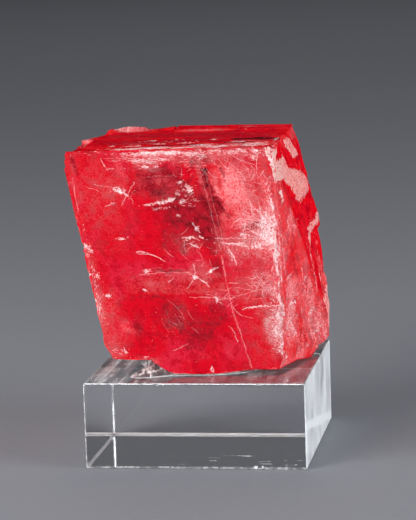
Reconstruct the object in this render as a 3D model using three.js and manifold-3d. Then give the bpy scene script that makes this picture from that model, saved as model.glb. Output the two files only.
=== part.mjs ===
// A cleaved rhombohedral crystal of rhodochrosite, held by a pad of clear museum gel on a clear acrylic
// display block. Millimetres, +Z up. The origin is the centre of the block's underside, +X runs along the
// block's front edge and +Y goes from its front to its back.
import * as THREE from 'three';
import { RoundedBoxGeometry } from 'three/addons/geometries/RoundedBoxGeometry.js';
import { mergeVertices } from 'three/addons/utils/BufferGeometryUtils.js';
import Module from 'manifold-3d';

const wasm = await Module();
wasm.setup();

// ---- driving dimensions ----
const BLOCK_SIDE = 50;
const BLOCK_HEIGHT = 19.5;
const BLOCK_EDGE_RADIUS = 0.5;

// The crystal's three cleavage edges, from its lowest front left corner. The rhombohedron's face angles
// are 78 and 102 degrees, and it leans to the left and away from the front as it stands.
const WIDTH = 46.95;
const DEPTH = 34.04;
const HEIGHT = 51.39;
const across = new THREE.Vector3(0.985, 0.1725, -0.0053).setLength(WIDTH);
const back = new THREE.Vector3(0.0382, 0.9988, 0.0294).setLength(DEPTH);
const up = new THREE.Vector3(-0.1985, 0.1956, 0.9604).setLength(HEIGHT);
const lowCorner = new THREE.Vector3(-20.1, -19.5, 20.35);
const LEFT_FACE_TOP = -0.021; // where the left face starts, as a share of the width, at the top
const LEFT_FACE_FOOT = 0.007; // and at the foot

const TERRACE_RISE = 0.72; // the last cleavage step of the top face, at the middle of its back edge
const TERRACE_END_RISE = 0.3; // and at that edge's right end
const LIP_RISE = 0.55; // the broken lip at the back left of the top face
const FRACTURE_RIPPLE = 0.28; // how far a fracture face swells and dips
const FRACTURE_PITCH = 2.5;

const GEL_CENTRE = new THREE.Vector2(0, -3.5);
const GEL_HALF_WIDTH = 16;
const GEL_HALF_DEPTH = 12.6;
const GEL_THICKNESS = 1.9;
const GEL_LOBE_RISE = 1.5; // the thick lobe that fills the step under the crystal's left end
const GEL_LOBE = new THREE.Vector2(-10.5, -6);
const GEL_LOBE_RADIUS = 6.5;
const CLEARANCE = 0.3; // between the gel and the crystal

// ---- solids and meshes ----

// A closed three.js geometry as a solid that can be joined and cut.
function solidFrom(geometry) {
  const bare = geometry.clone();
  bare.deleteAttribute('normal');
  bare.deleteAttribute('uv');
  const merged = mergeVertices(bare, 1e-5);
  return new wasm.Manifold(new wasm.Mesh({
    numProp: 3,
    vertProperties: new Float32Array(merged.attributes.position.array),
    triVerts: new Uint32Array(merged.index.array),
  }));
}

// A solid as a geometry again.
function geometryFrom(solid) {
  const mesh = solid.getMesh();
  const geometry = new THREE.BufferGeometry();
  geometry.setAttribute('position', new THREE.BufferAttribute(mesh.vertProperties, 3));
  geometry.setIndex(new THREE.BufferAttribute(mesh.triVerts, 1));
  geometry.computeVertexNormals();
  return geometry;
}

function piece(name, geometry, colour, roughness) {
  const material = new THREE.MeshStandardMaterial({ color: colour, roughness, metalness: 0 });
  const mesh = new THREE.Mesh(geometry, material);
  mesh.name = name;
  return mesh;
}

// ---- the crystal ----

// A point of the crystal, in shares of its width, depth and height from the low front left corner.
function at(u, v, h) {
  return lowCorner.clone()
    .addScaledVector(across, u)
    .addScaledVector(back, v)
    .addScaledVector(up, h);
}

// The six faces of a closed hexahedron given as its four lower corners and the four above them.
function hexahedron(corners) {
  const faces = [[0, 3, 2, 1], [4, 5, 6, 7], [0, 1, 5, 4], [1, 2, 6, 5], [2, 3, 7, 6], [3, 0, 4, 7]];
  const geometry = new THREE.BufferGeometry().setFromPoints(corners);
  geometry.setIndex(faces.flatMap(([a, b, c, d]) => [a, b, c, a, c, d]));
  return geometry;
}

function cleavageBlock() {
  return hexahedron([
    at(LEFT_FACE_FOOT, 0, 0), at(1, 0, 0), at(1, 1, 0), at(LEFT_FACE_FOOT, 1, 0),
    at(LEFT_FACE_TOP, 0, 1), at(1, 0, 1), at(1, 1, 1), at(LEFT_FACE_TOP, 1, 1),
  ]);
}

// The swell of a fracture face: three long waves that cross each other.
function ripple(x, y) {
  const waves = Math.sin(0.41 * x + 0.9) + Math.sin(0.33 * y - 0.27 * x) + Math.sin(0.52 * y + 0.2 * x + 2.1);
  return FRACTURE_RIPPLE * waves / 3;
}

// What a fracture through three points takes away: a slab on the far side of their plane from the
// crystal's middle, with a rippled face.
function fracture(first, second, third) {
  const size = 80;
  const steps = Math.round(size / FRACTURE_PITCH);
  const slab = new THREE.BoxGeometry(size, size, size, steps, steps, 1);
  slab.translate(0, 0, size / 2);
  const points = slab.attributes.position;
  for (let i = 0; i < points.count; i += 1) {
    if (points.getZ(i) < 1e-6) {
      points.setZ(i, ripple(points.getX(i), points.getY(i)));
    }
  }
  const plane = new THREE.Plane().setFromCoplanarPoints(first, second, third);
  if (plane.distanceToPoint(at(0.5, 0.5, 0.5)) > 0) {
    plane.negate();
  }
  const middle = first.clone().add(second).add(third).divideScalar(3);
  const turn = new THREE.Quaternion().setFromUnitVectors(new THREE.Vector3(0, 0, 1), plane.normal);
  slab.applyQuaternion(turn);
  slab.translate(middle.x, middle.y, middle.z);
  return solidFrom(slab);
}

// The step broken out of the underside's left end: its outline in shares of width and height, run from
// front to back along the cleavage.
function footStep() {
  const outline = [[-0.2, -0.2], [0.33, -0.2], [0.3, 0.0], [0.243, 0.032], [0.21, 0.058], [-0.2, 0.078]];
  const [front, rear] = [-0.3, 1.2];
  const shape = new THREE.Shape(outline.map(([u, h]) => new THREE.Vector2(u, h)));
  const run = new THREE.ExtrudeGeometry(shape, { depth: rear - front, bevelEnabled: false });
  const points = run.attributes.position;
  for (let i = 0; i < points.count; i += 1) {
    const corner = at(points.getX(i), rear - points.getZ(i), points.getY(i));
    points.setXYZ(i, corner.x, corner.y, corner.z);
  }
  return solidFrom(run);
}

// A low wedge on the top face, from a line at the share `front` of the depth up to the back edge, between
// two shares of the width, with its own rise at each end.
function backRidge(from, to, front, riseFrom, riseTo) {
  const sunk = 0.97;
  const [topFrom, topTo] = [1 + riseFrom / HEIGHT, 1 + riseTo / HEIGHT];
  const lip = (top) => 1 + 0.4 * (top - 1);
  return solidFrom(hexahedron([
    at(from, front, sunk), at(to, front, sunk), at(to, 1, sunk), at(from, 1, sunk),
    at(from, front, lip(topFrom)), at(to, front, lip(topTo)), at(to, 1, topTo), at(from, 1, topFrom),
  ]));
}

function crystalSolid() {
  const fractures = [
    [at(1, 0, 1), at(0.859, 0, 0.015), at(0.968, 0.674, 0)], // front right edge, widening to the foot
    [at(1.002, 0, 1), at(0.985, 1, 1), at(1.005, 0.99, 0.852)], // right edge of the top face
    [at(0.893, 0.36, 0), at(0.955, 0.674, 0), at(1.01, 0.55, 0.14)], // foot of the right face
    [at(0.95, 0.64, 0), at(1.01, 1, 0.07), at(0.66, 1, 0)], // low back right corner
    [at(1, 0.7, 0.03), at(1.005, 0.86, 0.3), at(0.96, 1, 0.04)], // low end of the back right edge
    [at(-0.012, 0.52, 1), at(0.13, 1, 1), at(0, 1, 0.74)], // high back left corner
    [at(-0.004, 0, 1), at(-0.02, 0, 0.94), at(-0.021, 0.42, 1)], // high front left corner
  ];
  let solid = solidFrom(cleavageBlock());
  solid = solid.add(backRidge(0.4, 0.99, 0.84, TERRACE_RISE, TERRACE_END_RISE));
  solid = solid.add(backRidge(0.07, 0.21, 0.9, LIP_RISE, LIP_RISE));
  solid = solid.subtract(footStep());
  for (const points of fractures) {
    solid = solid.subtract(fracture(...points));
  }
  return solid;
}

// ---- the gel pad ----

// The pad's outline, at an angle round its centre.
function gelRim(angle) {
  const wave = 1 + 0.05 * Math.sin(3 * angle + 0.6) + 0.03 * Math.sin(5 * angle);
  return new THREE.Vector2(GEL_HALF_WIDTH * Math.cos(angle), GEL_HALF_DEPTH * Math.sin(angle))
    .multiplyScalar(wave);
}

// The pad before the crystal is pressed into it: a low dome with a lobe at the left.
function gelDome() {
  const rings = 9;
  const sectors = 48;
  const points = [new THREE.Vector3(GEL_CENTRE.x, GEL_CENTRE.y, BLOCK_HEIGHT)];
  const topHeight = (x, y, share) => {
    const edge = Math.sqrt(1 - share * share);
    const reach = Math.hypot(x - GEL_LOBE.x, y - GEL_LOBE.y) / GEL_LOBE_RADIUS;
    return edge * (GEL_THICKNESS + GEL_LOBE_RISE * Math.exp(-reach * reach));
  };
  for (let ring = 1; ring <= rings; ring += 1) {
    const share = Math.sin((ring / rings) * Math.PI / 2);
    for (let sector = 0; sector < sectors; sector += 1) {
      const spot = gelRim(sector / sectors * 2 * Math.PI).multiplyScalar(share).add(GEL_CENTRE);
      points.push(new THREE.Vector3(spot.x, spot.y, BLOCK_HEIGHT + topHeight(spot.x, spot.y, share)));
    }
  }
  points[0].z += topHeight(GEL_CENTRE.x, GEL_CENTRE.y, 0);
  points.push(new THREE.Vector3(GEL_CENTRE.x, GEL_CENTRE.y, BLOCK_HEIGHT));
  const place = (ring, sector) => (ring === 0 ? 0 : 1 + (ring - 1) * sectors + (sector % sectors));
  const index = [];
  for (let sector = 0; sector < sectors; sector += 1) {
    index.push(0, place(1, sector), place(1, sector + 1));
    for (let ring = 1; ring < rings; ring += 1) {
      const [a, b] = [place(ring, sector), place(ring, sector + 1)];
      const [c, d] = [place(ring + 1, sector), place(ring + 1, sector + 1)];
      index.push(a, c, d, a, d, b);
    }
    index.push(points.length - 1, place(rings, sector + 1), place(rings, sector));
  }
  const dome = new THREE.BufferGeometry().setFromPoints(points);
  dome.setIndex(index);
  return dome;
}

function gelPadSolid(crystal) {
  return solidFrom(gelDome()).subtract(crystal.translate([0, 0, -CLEARANCE]));
}

// ---- the specimen ----

const crystal = crystalSolid();
const block = new RoundedBoxGeometry(BLOCK_SIDE, BLOCK_SIDE, BLOCK_HEIGHT, 2, BLOCK_EDGE_RADIUS);
block.translate(0, 0, BLOCK_HEIGHT / 2);

const specimen = new THREE.Group();
specimen.add(piece('crystal', geometryFrom(crystal), 0xcf1430, 0.22));
specimen.add(piece('gel_pad', geometryFrom(gelPadSolid(crystal)), 0xdfe5e8, 0.08));
specimen.add(piece('display_block', block, 0xe4ebef, 0.05));

export default specimen;
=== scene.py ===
"""A cleaved rhodochrosite crystal held by clear museum gel on a clear acrylic block.

Metres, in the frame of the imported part: +X along the block's front edge, +Y from its front to its
back, +Z up, the origin at the centre of the block's underside. Small sizes are written in millimetres
times MM.
"""

import itertools
import math
import random

import bpy
import numpy as np
from mathutils import Matrix, Vector
from mathutils.bvhtree import BVHTree


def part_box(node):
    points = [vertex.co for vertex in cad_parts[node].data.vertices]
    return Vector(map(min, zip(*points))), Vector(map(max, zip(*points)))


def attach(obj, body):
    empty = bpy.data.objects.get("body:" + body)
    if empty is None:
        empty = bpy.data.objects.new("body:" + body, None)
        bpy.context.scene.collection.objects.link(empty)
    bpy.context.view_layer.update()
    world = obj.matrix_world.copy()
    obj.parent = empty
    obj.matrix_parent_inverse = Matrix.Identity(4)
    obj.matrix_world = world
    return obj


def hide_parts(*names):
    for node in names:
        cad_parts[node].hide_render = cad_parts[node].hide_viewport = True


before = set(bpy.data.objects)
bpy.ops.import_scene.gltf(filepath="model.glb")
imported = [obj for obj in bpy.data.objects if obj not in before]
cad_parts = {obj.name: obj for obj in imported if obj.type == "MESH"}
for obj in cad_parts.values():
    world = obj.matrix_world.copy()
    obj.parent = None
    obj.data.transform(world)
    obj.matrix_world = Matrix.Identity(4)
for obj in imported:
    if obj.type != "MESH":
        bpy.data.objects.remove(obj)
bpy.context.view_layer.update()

MM = 0.001
SEED = 7
random.seed(SEED)

# ---- the crystal's cleavage frame, as the solid has it ----
WIDTH, DEPTH, HEIGHT = 46.95, 34.04, 51.39  # mm, along its three cleavage edges
SIZES = np.array([WIDTH, DEPTH, HEIGHT])
LOW_CORNER = np.array([-20.1, -19.5, 20.35]) * MM
ACROSS, BACK, UP = (
    np.array(way) / np.linalg.norm(way) * size * MM
    for way, size in (
        ((0.985, 0.1725, -0.0053), WIDTH),
        ((0.0382, 0.9988, 0.0294), DEPTH),
        ((-0.1985, 0.1956, 0.9604), HEIGHT),
    )
)
EDGES = np.array([ACROSS, BACK, UP])
LEFT_FACE_TOP, LEFT_FACE_FOOT = -0.021, 0.007  # where the left face starts, as shares of the width
CELLS = (136, 98, 148)  # cells of the crystal's surface lattice along each edge


def unit(vector):
    return vector / np.linalg.norm(vector)


FRONT_OUT = unit(np.cross(ACROSS, UP))
RIGHT_OUT = unit(np.cross(BACK, UP))
TOP_OUT = unit(np.cross(ACROSS, BACK))


def at(shares):
    """Where points given in shares of the crystal's width, depth and height are."""
    return LOW_CORNER + np.asarray(shares) @ EDGES


MIDDLE = at((0.5, 0.5, 0.5))


# ---- numbers for surfaces ----

def smooth(low, high, value):
    """0 below low, 1 above high and an even rise between them. High may be the lower one."""
    share = np.clip((value - low) / (high - low), 0, 1)
    return share * share * (3 - 2 * share)


def waves(points, seed=0):
    """Smooth noise from -1 to 1 at each row of points, about one wave per unit."""
    points = np.asarray(points, float)
    cell = np.floor(points).astype(np.int64)
    part = points - cell
    part = part * part * (3 - 2 * part)
    total = np.zeros(len(points))
    for corner in itertools.product((0, 1), repeat=3):
        key = cell + corner
        mixed = key[:, 0] * 73856093 ^ key[:, 1] * 19349663 ^ key[:, 2] * 83492791 ^ (seed + 1) * 7919
        mixed = (mixed * 2654435761) & 0xFFFFFFFF
        mixed = ((mixed ^ (mixed >> 15)) * 2246822519) & 0xFFFFFFFF
        value = ((mixed ^ (mixed >> 13)) & 0xFFFF) / 32767.5 - 1
        weight = np.prod(np.where(corner, part, 1 - part), axis=1)
        total += value * weight
    return total


def layered(points, seed=0, octaves=3):
    """Noise with finer and fainter waves added, still roughly from -1 to 1."""
    total = np.zeros(len(points))
    for octave in range(octaves):
        total += waves(np.asarray(points) * 2 ** octave + 11.3 * octave, seed + octave) / 2 ** octave
    return total / (2 - 2 ** (1 - octaves))


def steps(value, levels):
    """A value turned into flat terraces with short risers between them."""
    scaled = value * levels
    floor = np.floor(scaled)
    return (floor + smooth(0.82, 1.0, scaled - floor)) / levels


# ---- meshes ----

def mesh_object(name, points, faces, material, smooth_shaded=True):
    mesh = bpy.data.meshes.new(name)
    mesh.from_pydata([tuple(p) for p in points], [], [tuple(f) for f in faces])
    mesh.validate()
    mesh.polygons.foreach_set("use_smooth", [smooth_shaded] * len(mesh.polygons))
    mesh.materials.append(material)
    made = bpy.data.objects.new(name, mesh)
    bpy.context.scene.collection.objects.link(made)
    return made


def tree_of(made):
    mesh = made.data
    places = [vertex.co for vertex in mesh.vertices]
    return BVHTree.FromPolygons(places, [polygon.vertices for polygon in mesh.polygons])


def shell_lattice(lines):
    """The points and outward quads of a box's shell. Lines holds, for each of the three ways, the
    places of the lattice lines from one side of the box to the other."""
    counts = [len(line) - 1 for line in lines]
    index, points, quads = {}, [], []

    def place(key):
        if key not in index:
            index[key] = len(points)
            points.append([lines[way][key[way]] for way in range(3)])
        return index[key]

    for way, (first, second) in enumerate(((1, 2), (2, 0), (0, 1))):
        for side in (0, counts[way]):
            for i in range(counts[first]):
                for j in range(counts[second]):
                    quad = []
                    for di, dj in ((0, 0), (1, 0), (1, 1), (0, 1)):
                        key = [side, side, side]
                        key[first], key[second] = i + di, j + dj
                        quad.append(place(tuple(key)))
                    quads.append(quad if side else quad[::-1])
    return np.array(points), quads


# ---- materials ----

class Finish:
    """A Principled material under construction. Its methods add nodes and return the last output."""

    def __init__(self, name, **constants):
        self.material = bpy.data.materials.new(name)
        self.material.use_nodes = True
        self.tree = self.material.node_tree
        self.shader = self.tree.nodes["Principled BSDF"]
        for socket, value in constants.items():
            self.set(self.shader, socket.replace("_", " "), value)
        self.place = self.node("ShaderNodeTexCoord").outputs["Object"]

    def axes(self, vector):
        return self.node("ShaderNodeSeparateXYZ", {"Vector": vector}).outputs

    def set(self, node, socket, value):
        target = node.inputs[socket]
        if isinstance(value, bpy.types.NodeSocket):
            self.tree.links.new(value, target)
        else:
            target.default_value = value

    def node(self, kind, sockets=None, **settings):
        made = self.tree.nodes.new(kind)
        for name, value in settings.items():
            setattr(made, name, value)
        for name, value in (sockets or {}).items():
            self.set(made, name, value)
        return made

    def shade(self, **patterns):
        for socket, value in patterns.items():
            self.set(self.shader, socket.replace("_", " "), value)

    def attribute(self, name, output="Fac"):
        return self.node("ShaderNodeAttribute", attribute_name=name).outputs[output]

    def math(self, operation, first, second=0.0):
        return self.node("ShaderNodeMath", {0: first, 1: second}, operation=operation).outputs[0]

    def chain(self, operation, values):
        total = values[0]
        for value in values[1:]:
            total = self.math(operation, total, value)
        return total

    def product(self, *values):
        return self.chain("MULTIPLY", values)

    def total(self, *values):
        return self.chain("ADD", values)

    def most(self, *values):
        return self.chain("MAXIMUM", values)

    def around(self, noise, gain, middle=0.5):
        """Noise turned into a push to either side of nothing."""
        return self.product(self.math("SUBTRACT", noise, middle), gain)

    def distance(self, value, place):
        return self.math("ABSOLUTE", self.math("SUBTRACT", value, place))

    def rise(self, value, low, high, start=0.0, end=1.0):
        """From start, where the value is low, to end, where it is high."""
        sockets = {"Value": value, "From Min": low, "From Max": high, "To Min": start, "To Max": end}
        return self.node("ShaderNodeMapRange", sockets, interpolation_type="SMOOTHSTEP").outputs[0]

    def fade(self, share, end):
        """1 where the share is 0, and end where it is 1."""
        return self.rise(share, 0.0, 1.0, 1.0, end)

    def stretched(self, vector, scale):
        sockets = {"Vector": vector, "Scale": scale}
        return self.node("ShaderNodeMapping", sockets).outputs[0]

    def noise(self, vector, scale, detail=3.0, roughness=0.55):
        sockets = {"Vector": vector, "Scale": scale, "Detail": detail, "Roughness": roughness}
        return self.node("ShaderNodeTexNoise", sockets).outputs["Fac"]

    def threads(self, vector, scale, width):
        """Thin crinkled threads, as in crushed crystal: 1 on a thread and 0 off it."""
        return self.rise(self.distance(self.noise(vector, scale, 4.0, 0.6), 0.5), width, width * 0.2)

    def mix(self, share, first, second):
        made = self.node("ShaderNodeMix", data_type="RGBA")
        for socket, value in ((0, share), (6, first), (7, second)):
            self.set(made, socket, value)
        return made.outputs[2]

    def bump(self, height, strength, distance):
        sockets = {"Height": height, "Strength": strength, "Distance": distance}
        self.shade(Normal=self.node("ShaderNodeBump", sockets).outputs[0])

    def absorb(self, colour, density):
        volume = self.node("ShaderNodeVolumeAbsorption", {"Color": colour, "Density": density})
        self.tree.links.new(volume.outputs[0], self.tree.nodes["Material Output"].inputs["Volume"])


# the marks on the crystal, each a value at every point of its surface: 0 is none of it and 1 is full
MARK_NAMES = ("bruise", "web", "layers", "haze", "painted_shade", "crust", "fresh", "painted_face_tint")

RED = (0.90, 0.003, 0.018, 1)
ROSE = (0.91, 0.020, 0.056, 1)
SCARLET = (0.86, 0.002, 0.007, 1)
DEEP = (0.50, 0.0, 0.010, 1)
MAROON = (0.40, 0.008, 0.020, 1)
GLOOM = (0.11, 0.003, 0.008, 1)
PINK = (0.97, 0.24, 0.25, 1)
CREAM = (0.88, 0.33, 0.26, 1)
BLUSH = (0.86, 0.15, 0.15, 1)
BUFF = (0.80, 0.42, 0.36, 1)
PALE = (0.97, 0.50, 0.50, 1)
WHITE = (0.99, 0.80, 0.79, 1)


def crystal_finish():
    """Cherry-red crystal: glassy where it cleaved, milky where it is bruised, and mottled within."""
    f = Finish("rhodochrosite_crystal", IOR=1.6, Specular_IOR_Level=0.0)
    grain = f.attribute("grain", "Vector")  # millimetres along the three cleavage edges
    bruise, web, layers, haze, painted_shade, crust, fresh, painted_face_tint = (f.attribute(name) for name in MARK_NAMES)
    broad = f.noise(grain, 0.11, 4.0)
    mottle = f.noise(grain, 0.42, 5.0, 0.62)
    clump = f.noise(grain, 1.0, 3.0, 0.6)
    fine = f.noise(grain, 2.2, 5.0, 0.72)
    grit = f.noise(grain, 5.5, 3.0, 0.7)
    along_top = f.noise(f.stretched(grain, (0.12, 0.5, 2.6)), 1.0, 4.0, 0.65)
    speckle = f.total(f.product(fine, 0.9), f.product(grit, 0.9))
    blend = f.total(mottle, fine)

    # the body's reds; the right, top and hidden faces get a painted purer scarlet with fewer pink
    # speckles, for how the light falls on them
    colour = f.mix(f.rise(broad, 0.46, 0.66), RED, ROSE)
    colour = f.mix(f.product(painted_face_tint, 0.75), colour, SCARLET)
    colour = f.mix(f.rise(mottle, 0.46, 0.62, 0.0, 0.85), colour, DEEP)
    colour = f.mix(f.rise(fine, 0.50, 0.34, 0.0, 0.8), colour, DEEP)
    rosy = f.rise(painted_face_tint, 0.0, 1.0, 0.3, 0.1)
    colour = f.mix(f.rise(f.product(along_top, mottle), 0.27, 0.42, 0.0, rosy), colour, ROSE)
    speckled = f.rise(painted_face_tint, 0.0, 1.0, 0.12, 0.04)
    colour = f.mix(f.rise(speckle, 1.00, 1.22, 0.0, speckled), colour, PINK)

    # milk, and painted shade that darkens the body to maroon and near black
    least_milk = f.rise(painted_face_tint, 0.0, 1.0, 0.12, 0.5)
    colour = f.mix(f.product(haze, f.rise(blend, 0.90, 1.12, least_milk, 1.15)), colour, PINK)
    gloom = f.product(painted_shade, f.rise(blend, 0.82, 1.16, 1.4, 0.35))
    colour = f.mix(f.rise(gloom, 0.05, 0.50, 0.0, 0.9), colour, MAROON)
    colour = f.mix(f.rise(gloom, 0.66, 1.10), colour, GLOOM)

    # white threads in webs, and the edges of thin sheets; few of either cross the painted shade
    bare = f.rise(painted_shade, 0.1, 0.8, 1.0, 0.12)
    everywhere = f.rise(f.noise(grain, 0.3, 2.0), 0.50, 0.66, 0.0, 0.05)
    threads = f.most(f.threads(grain, 0.7, 0.028), f.threads(grain, 1.7, 0.038))
    webbed = f.most(f.product(web, bare), everywhere)
    threads = f.product(threads, f.rise(mottle, 0.35, 0.6, 1.0, 0.3), webbed)
    sheets = f.most(
        f.threads(f.stretched(grain, (0.16, 0.8, 1.3)), 1.0, 0.034),
        f.threads(f.stretched(grain, (0.4, 2.0, 3.0)), 1.0, 0.045),
    )
    sheets = f.product(sheets, layers, bare, f.rise(mottle, 0.35, 0.6, 1.0, 0.4))
    colour = f.mix(f.most(f.product(threads, 0.78), f.product(sheets, 0.9)), colour, WHITE)

    # the pale crust, buff near the front and white at its broken rims
    skin_reach = f.total(f.product(crust, 0.92), f.around(fine, 2.2), f.around(clump, 2.8))
    skin = f.product(f.rise(skin_reach, 0.60, 0.74), f.rise(crust, 0.04, 0.20))
    skin_colour = f.mix(f.rise(f.total(fine, clump), 0.90, 1.08), BLUSH, CREAM)
    skin_colour = f.mix(f.rise(speckle, 0.90, 1.06, 0.0, 0.4), skin_colour, PALE)
    skin_colour = f.mix(f.rise(mottle, 0.46, 0.58, 0.0, 0.65), skin_colour, BLUSH)
    skin_colour = f.mix(f.rise(f.axes(grain)["Y"], 12.0, 3.0, 0.0, 0.8), skin_colour, BUFF)
    rim = f.product(f.rise(skin_reach, 1.05, 0.72), f.rise(fine, 0.40, 0.60, 0.1, 0.8))
    colour = f.mix(skin, colour, f.mix(rim, skin_colour, WHITE))

    # bruises, broken up into flakes
    feather = f.around(speckle, f.rise(bruise, 0.0, 0.3, 2.5, 3.0), 0.9)
    flake = f.rise(f.total(bruise, feather, f.around(clump, 1.6)), 0.62, 0.86)
    colour = f.mix(flake, colour, f.mix(f.rise(grit, 0.35, 0.6), PALE, WHITE))

    dimmed = ((haze, 0.45), (flake, 0.15), (skin, 0.1), (fresh, 0.6), (painted_face_tint, 0.12))
    clear = f.product(*(f.fade(mark, left) for mark, left in dimmed))
    transmission = f.product(clear, f.rise(mottle, 0.35, 0.65, 0.46, 0.30))
    gloss = f.total(f.rise(mottle, 0.3, 0.7, 0.10, 0.22), f.product(fresh, 0.22))
    gloss = f.total(gloss, f.product(f.most(flake, skin), 0.3))
    f.shade(Base_Color=colour, Transmission_Weight=transmission, Roughness=gloss)
    relief = f.total(f.product(fine, f.rise(fresh, 0.0, 1.0, 0.25, 1.0)), along_top)
    relief = f.total(relief, f.product(f.most(flake, threads), 0.5))
    f.bump(relief, 0.3, 0.10 * MM)
    f.absorb((0.972, 0.02, 0.09, 1), 190)
    return f.material


def bruise_finish():
    """The white of crushed crystal: scratches and flakes on the surface."""
    f = Finish("crushed_crystal", IOR=1.6)
    fine = f.noise(f.place, 1500.0, 3.0)
    f.shade(
        Base_Color=f.mix(f.rise(fine, 0.35, 0.65), (0.93, 0.50, 0.51, 1), (0.98, 0.82, 0.81, 1)),
        Roughness=f.rise(fine, 0.3, 0.7, 0.35, 0.6),
        Transmission_Weight=f.rise(fine, 0.3, 0.7, 0.25, 0.0),
    )
    f.bump(fine, 0.4, 0.05 * MM)
    return f.material


def veil_finish():
    """The faint pink of a healed crack inside the crystal."""
    f = Finish("healed_crack", IOR=1.5)
    fine = f.noise(f.place, 900.0, 3.0)
    f.shade(
        Base_Color=f.mix(f.rise(fine, 0.35, 0.65), (0.90, 0.20, 0.24, 1), (0.97, 0.55, 0.55, 1)),
        Roughness=f.rise(fine, 0.3, 0.7, 0.25, 0.5),
        Transmission_Weight=f.rise(fine, 0.3, 0.7, 0.5, 0.15),
    )
    return f.material


def gel_finish():
    """Clear museum gel, glossy, with soft wrinkles, a painted highlight along its thin rim and veins in
    its folded tongue.
    """
    f = Finish("museum_gel_clear", IOR=1.45)
    soft = f.noise(f.place, 260.0, 2.0)
    x, y, z = f.axes(f.place)
    folded = f.product(f.rise(x, -7 * MM, -9 * MM), f.rise(y, -3 * MM, -7 * MM))
    veins = f.product(f.threads(f.stretched(f.place, (420, 190, 190)), 1.0, 0.075), folded)
    # painted highlight: the gel's thin rim on the block turned pale and less clear
    rim = f.rise(z, BLOCK_TOP + 0.20 * MM, BLOCK_TOP + 0.04 * MM)
    veins_and_rim_highlight = f.most(f.product(veins, 0.75), f.product(rim, 0.5))
    f.shade(
        Base_Color=f.mix(veins_and_rim_highlight, (0.985, 0.985, 0.985, 1), (0.97, 0.86, 0.86, 1)),
        Roughness=f.rise(soft, 0.35, 0.7, 0.0, 0.05),
        Transmission_Weight=f.fade(veins_and_rim_highlight, 0.0),
    )
    f.bump(f.total(soft, f.product(veins, 0.3)), 0.25, 0.15 * MM)
    f.absorb((0.97, 0.99, 1.0, 1), 6)
    return f.material


BLOCK_HALF, BLOCK_TOP, BLOCK_EDGE_RADIUS = 25 * MM, 19.5 * MM, 0.5 * MM
CHIPS_X = 14.2 * MM  # where the front foot is chipped most
BAND_HEIGHT, BAND_SLOPE = 5.5 * MM, 0.175  # a painted band of light on the sawn side, where the back edge shines through it


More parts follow.
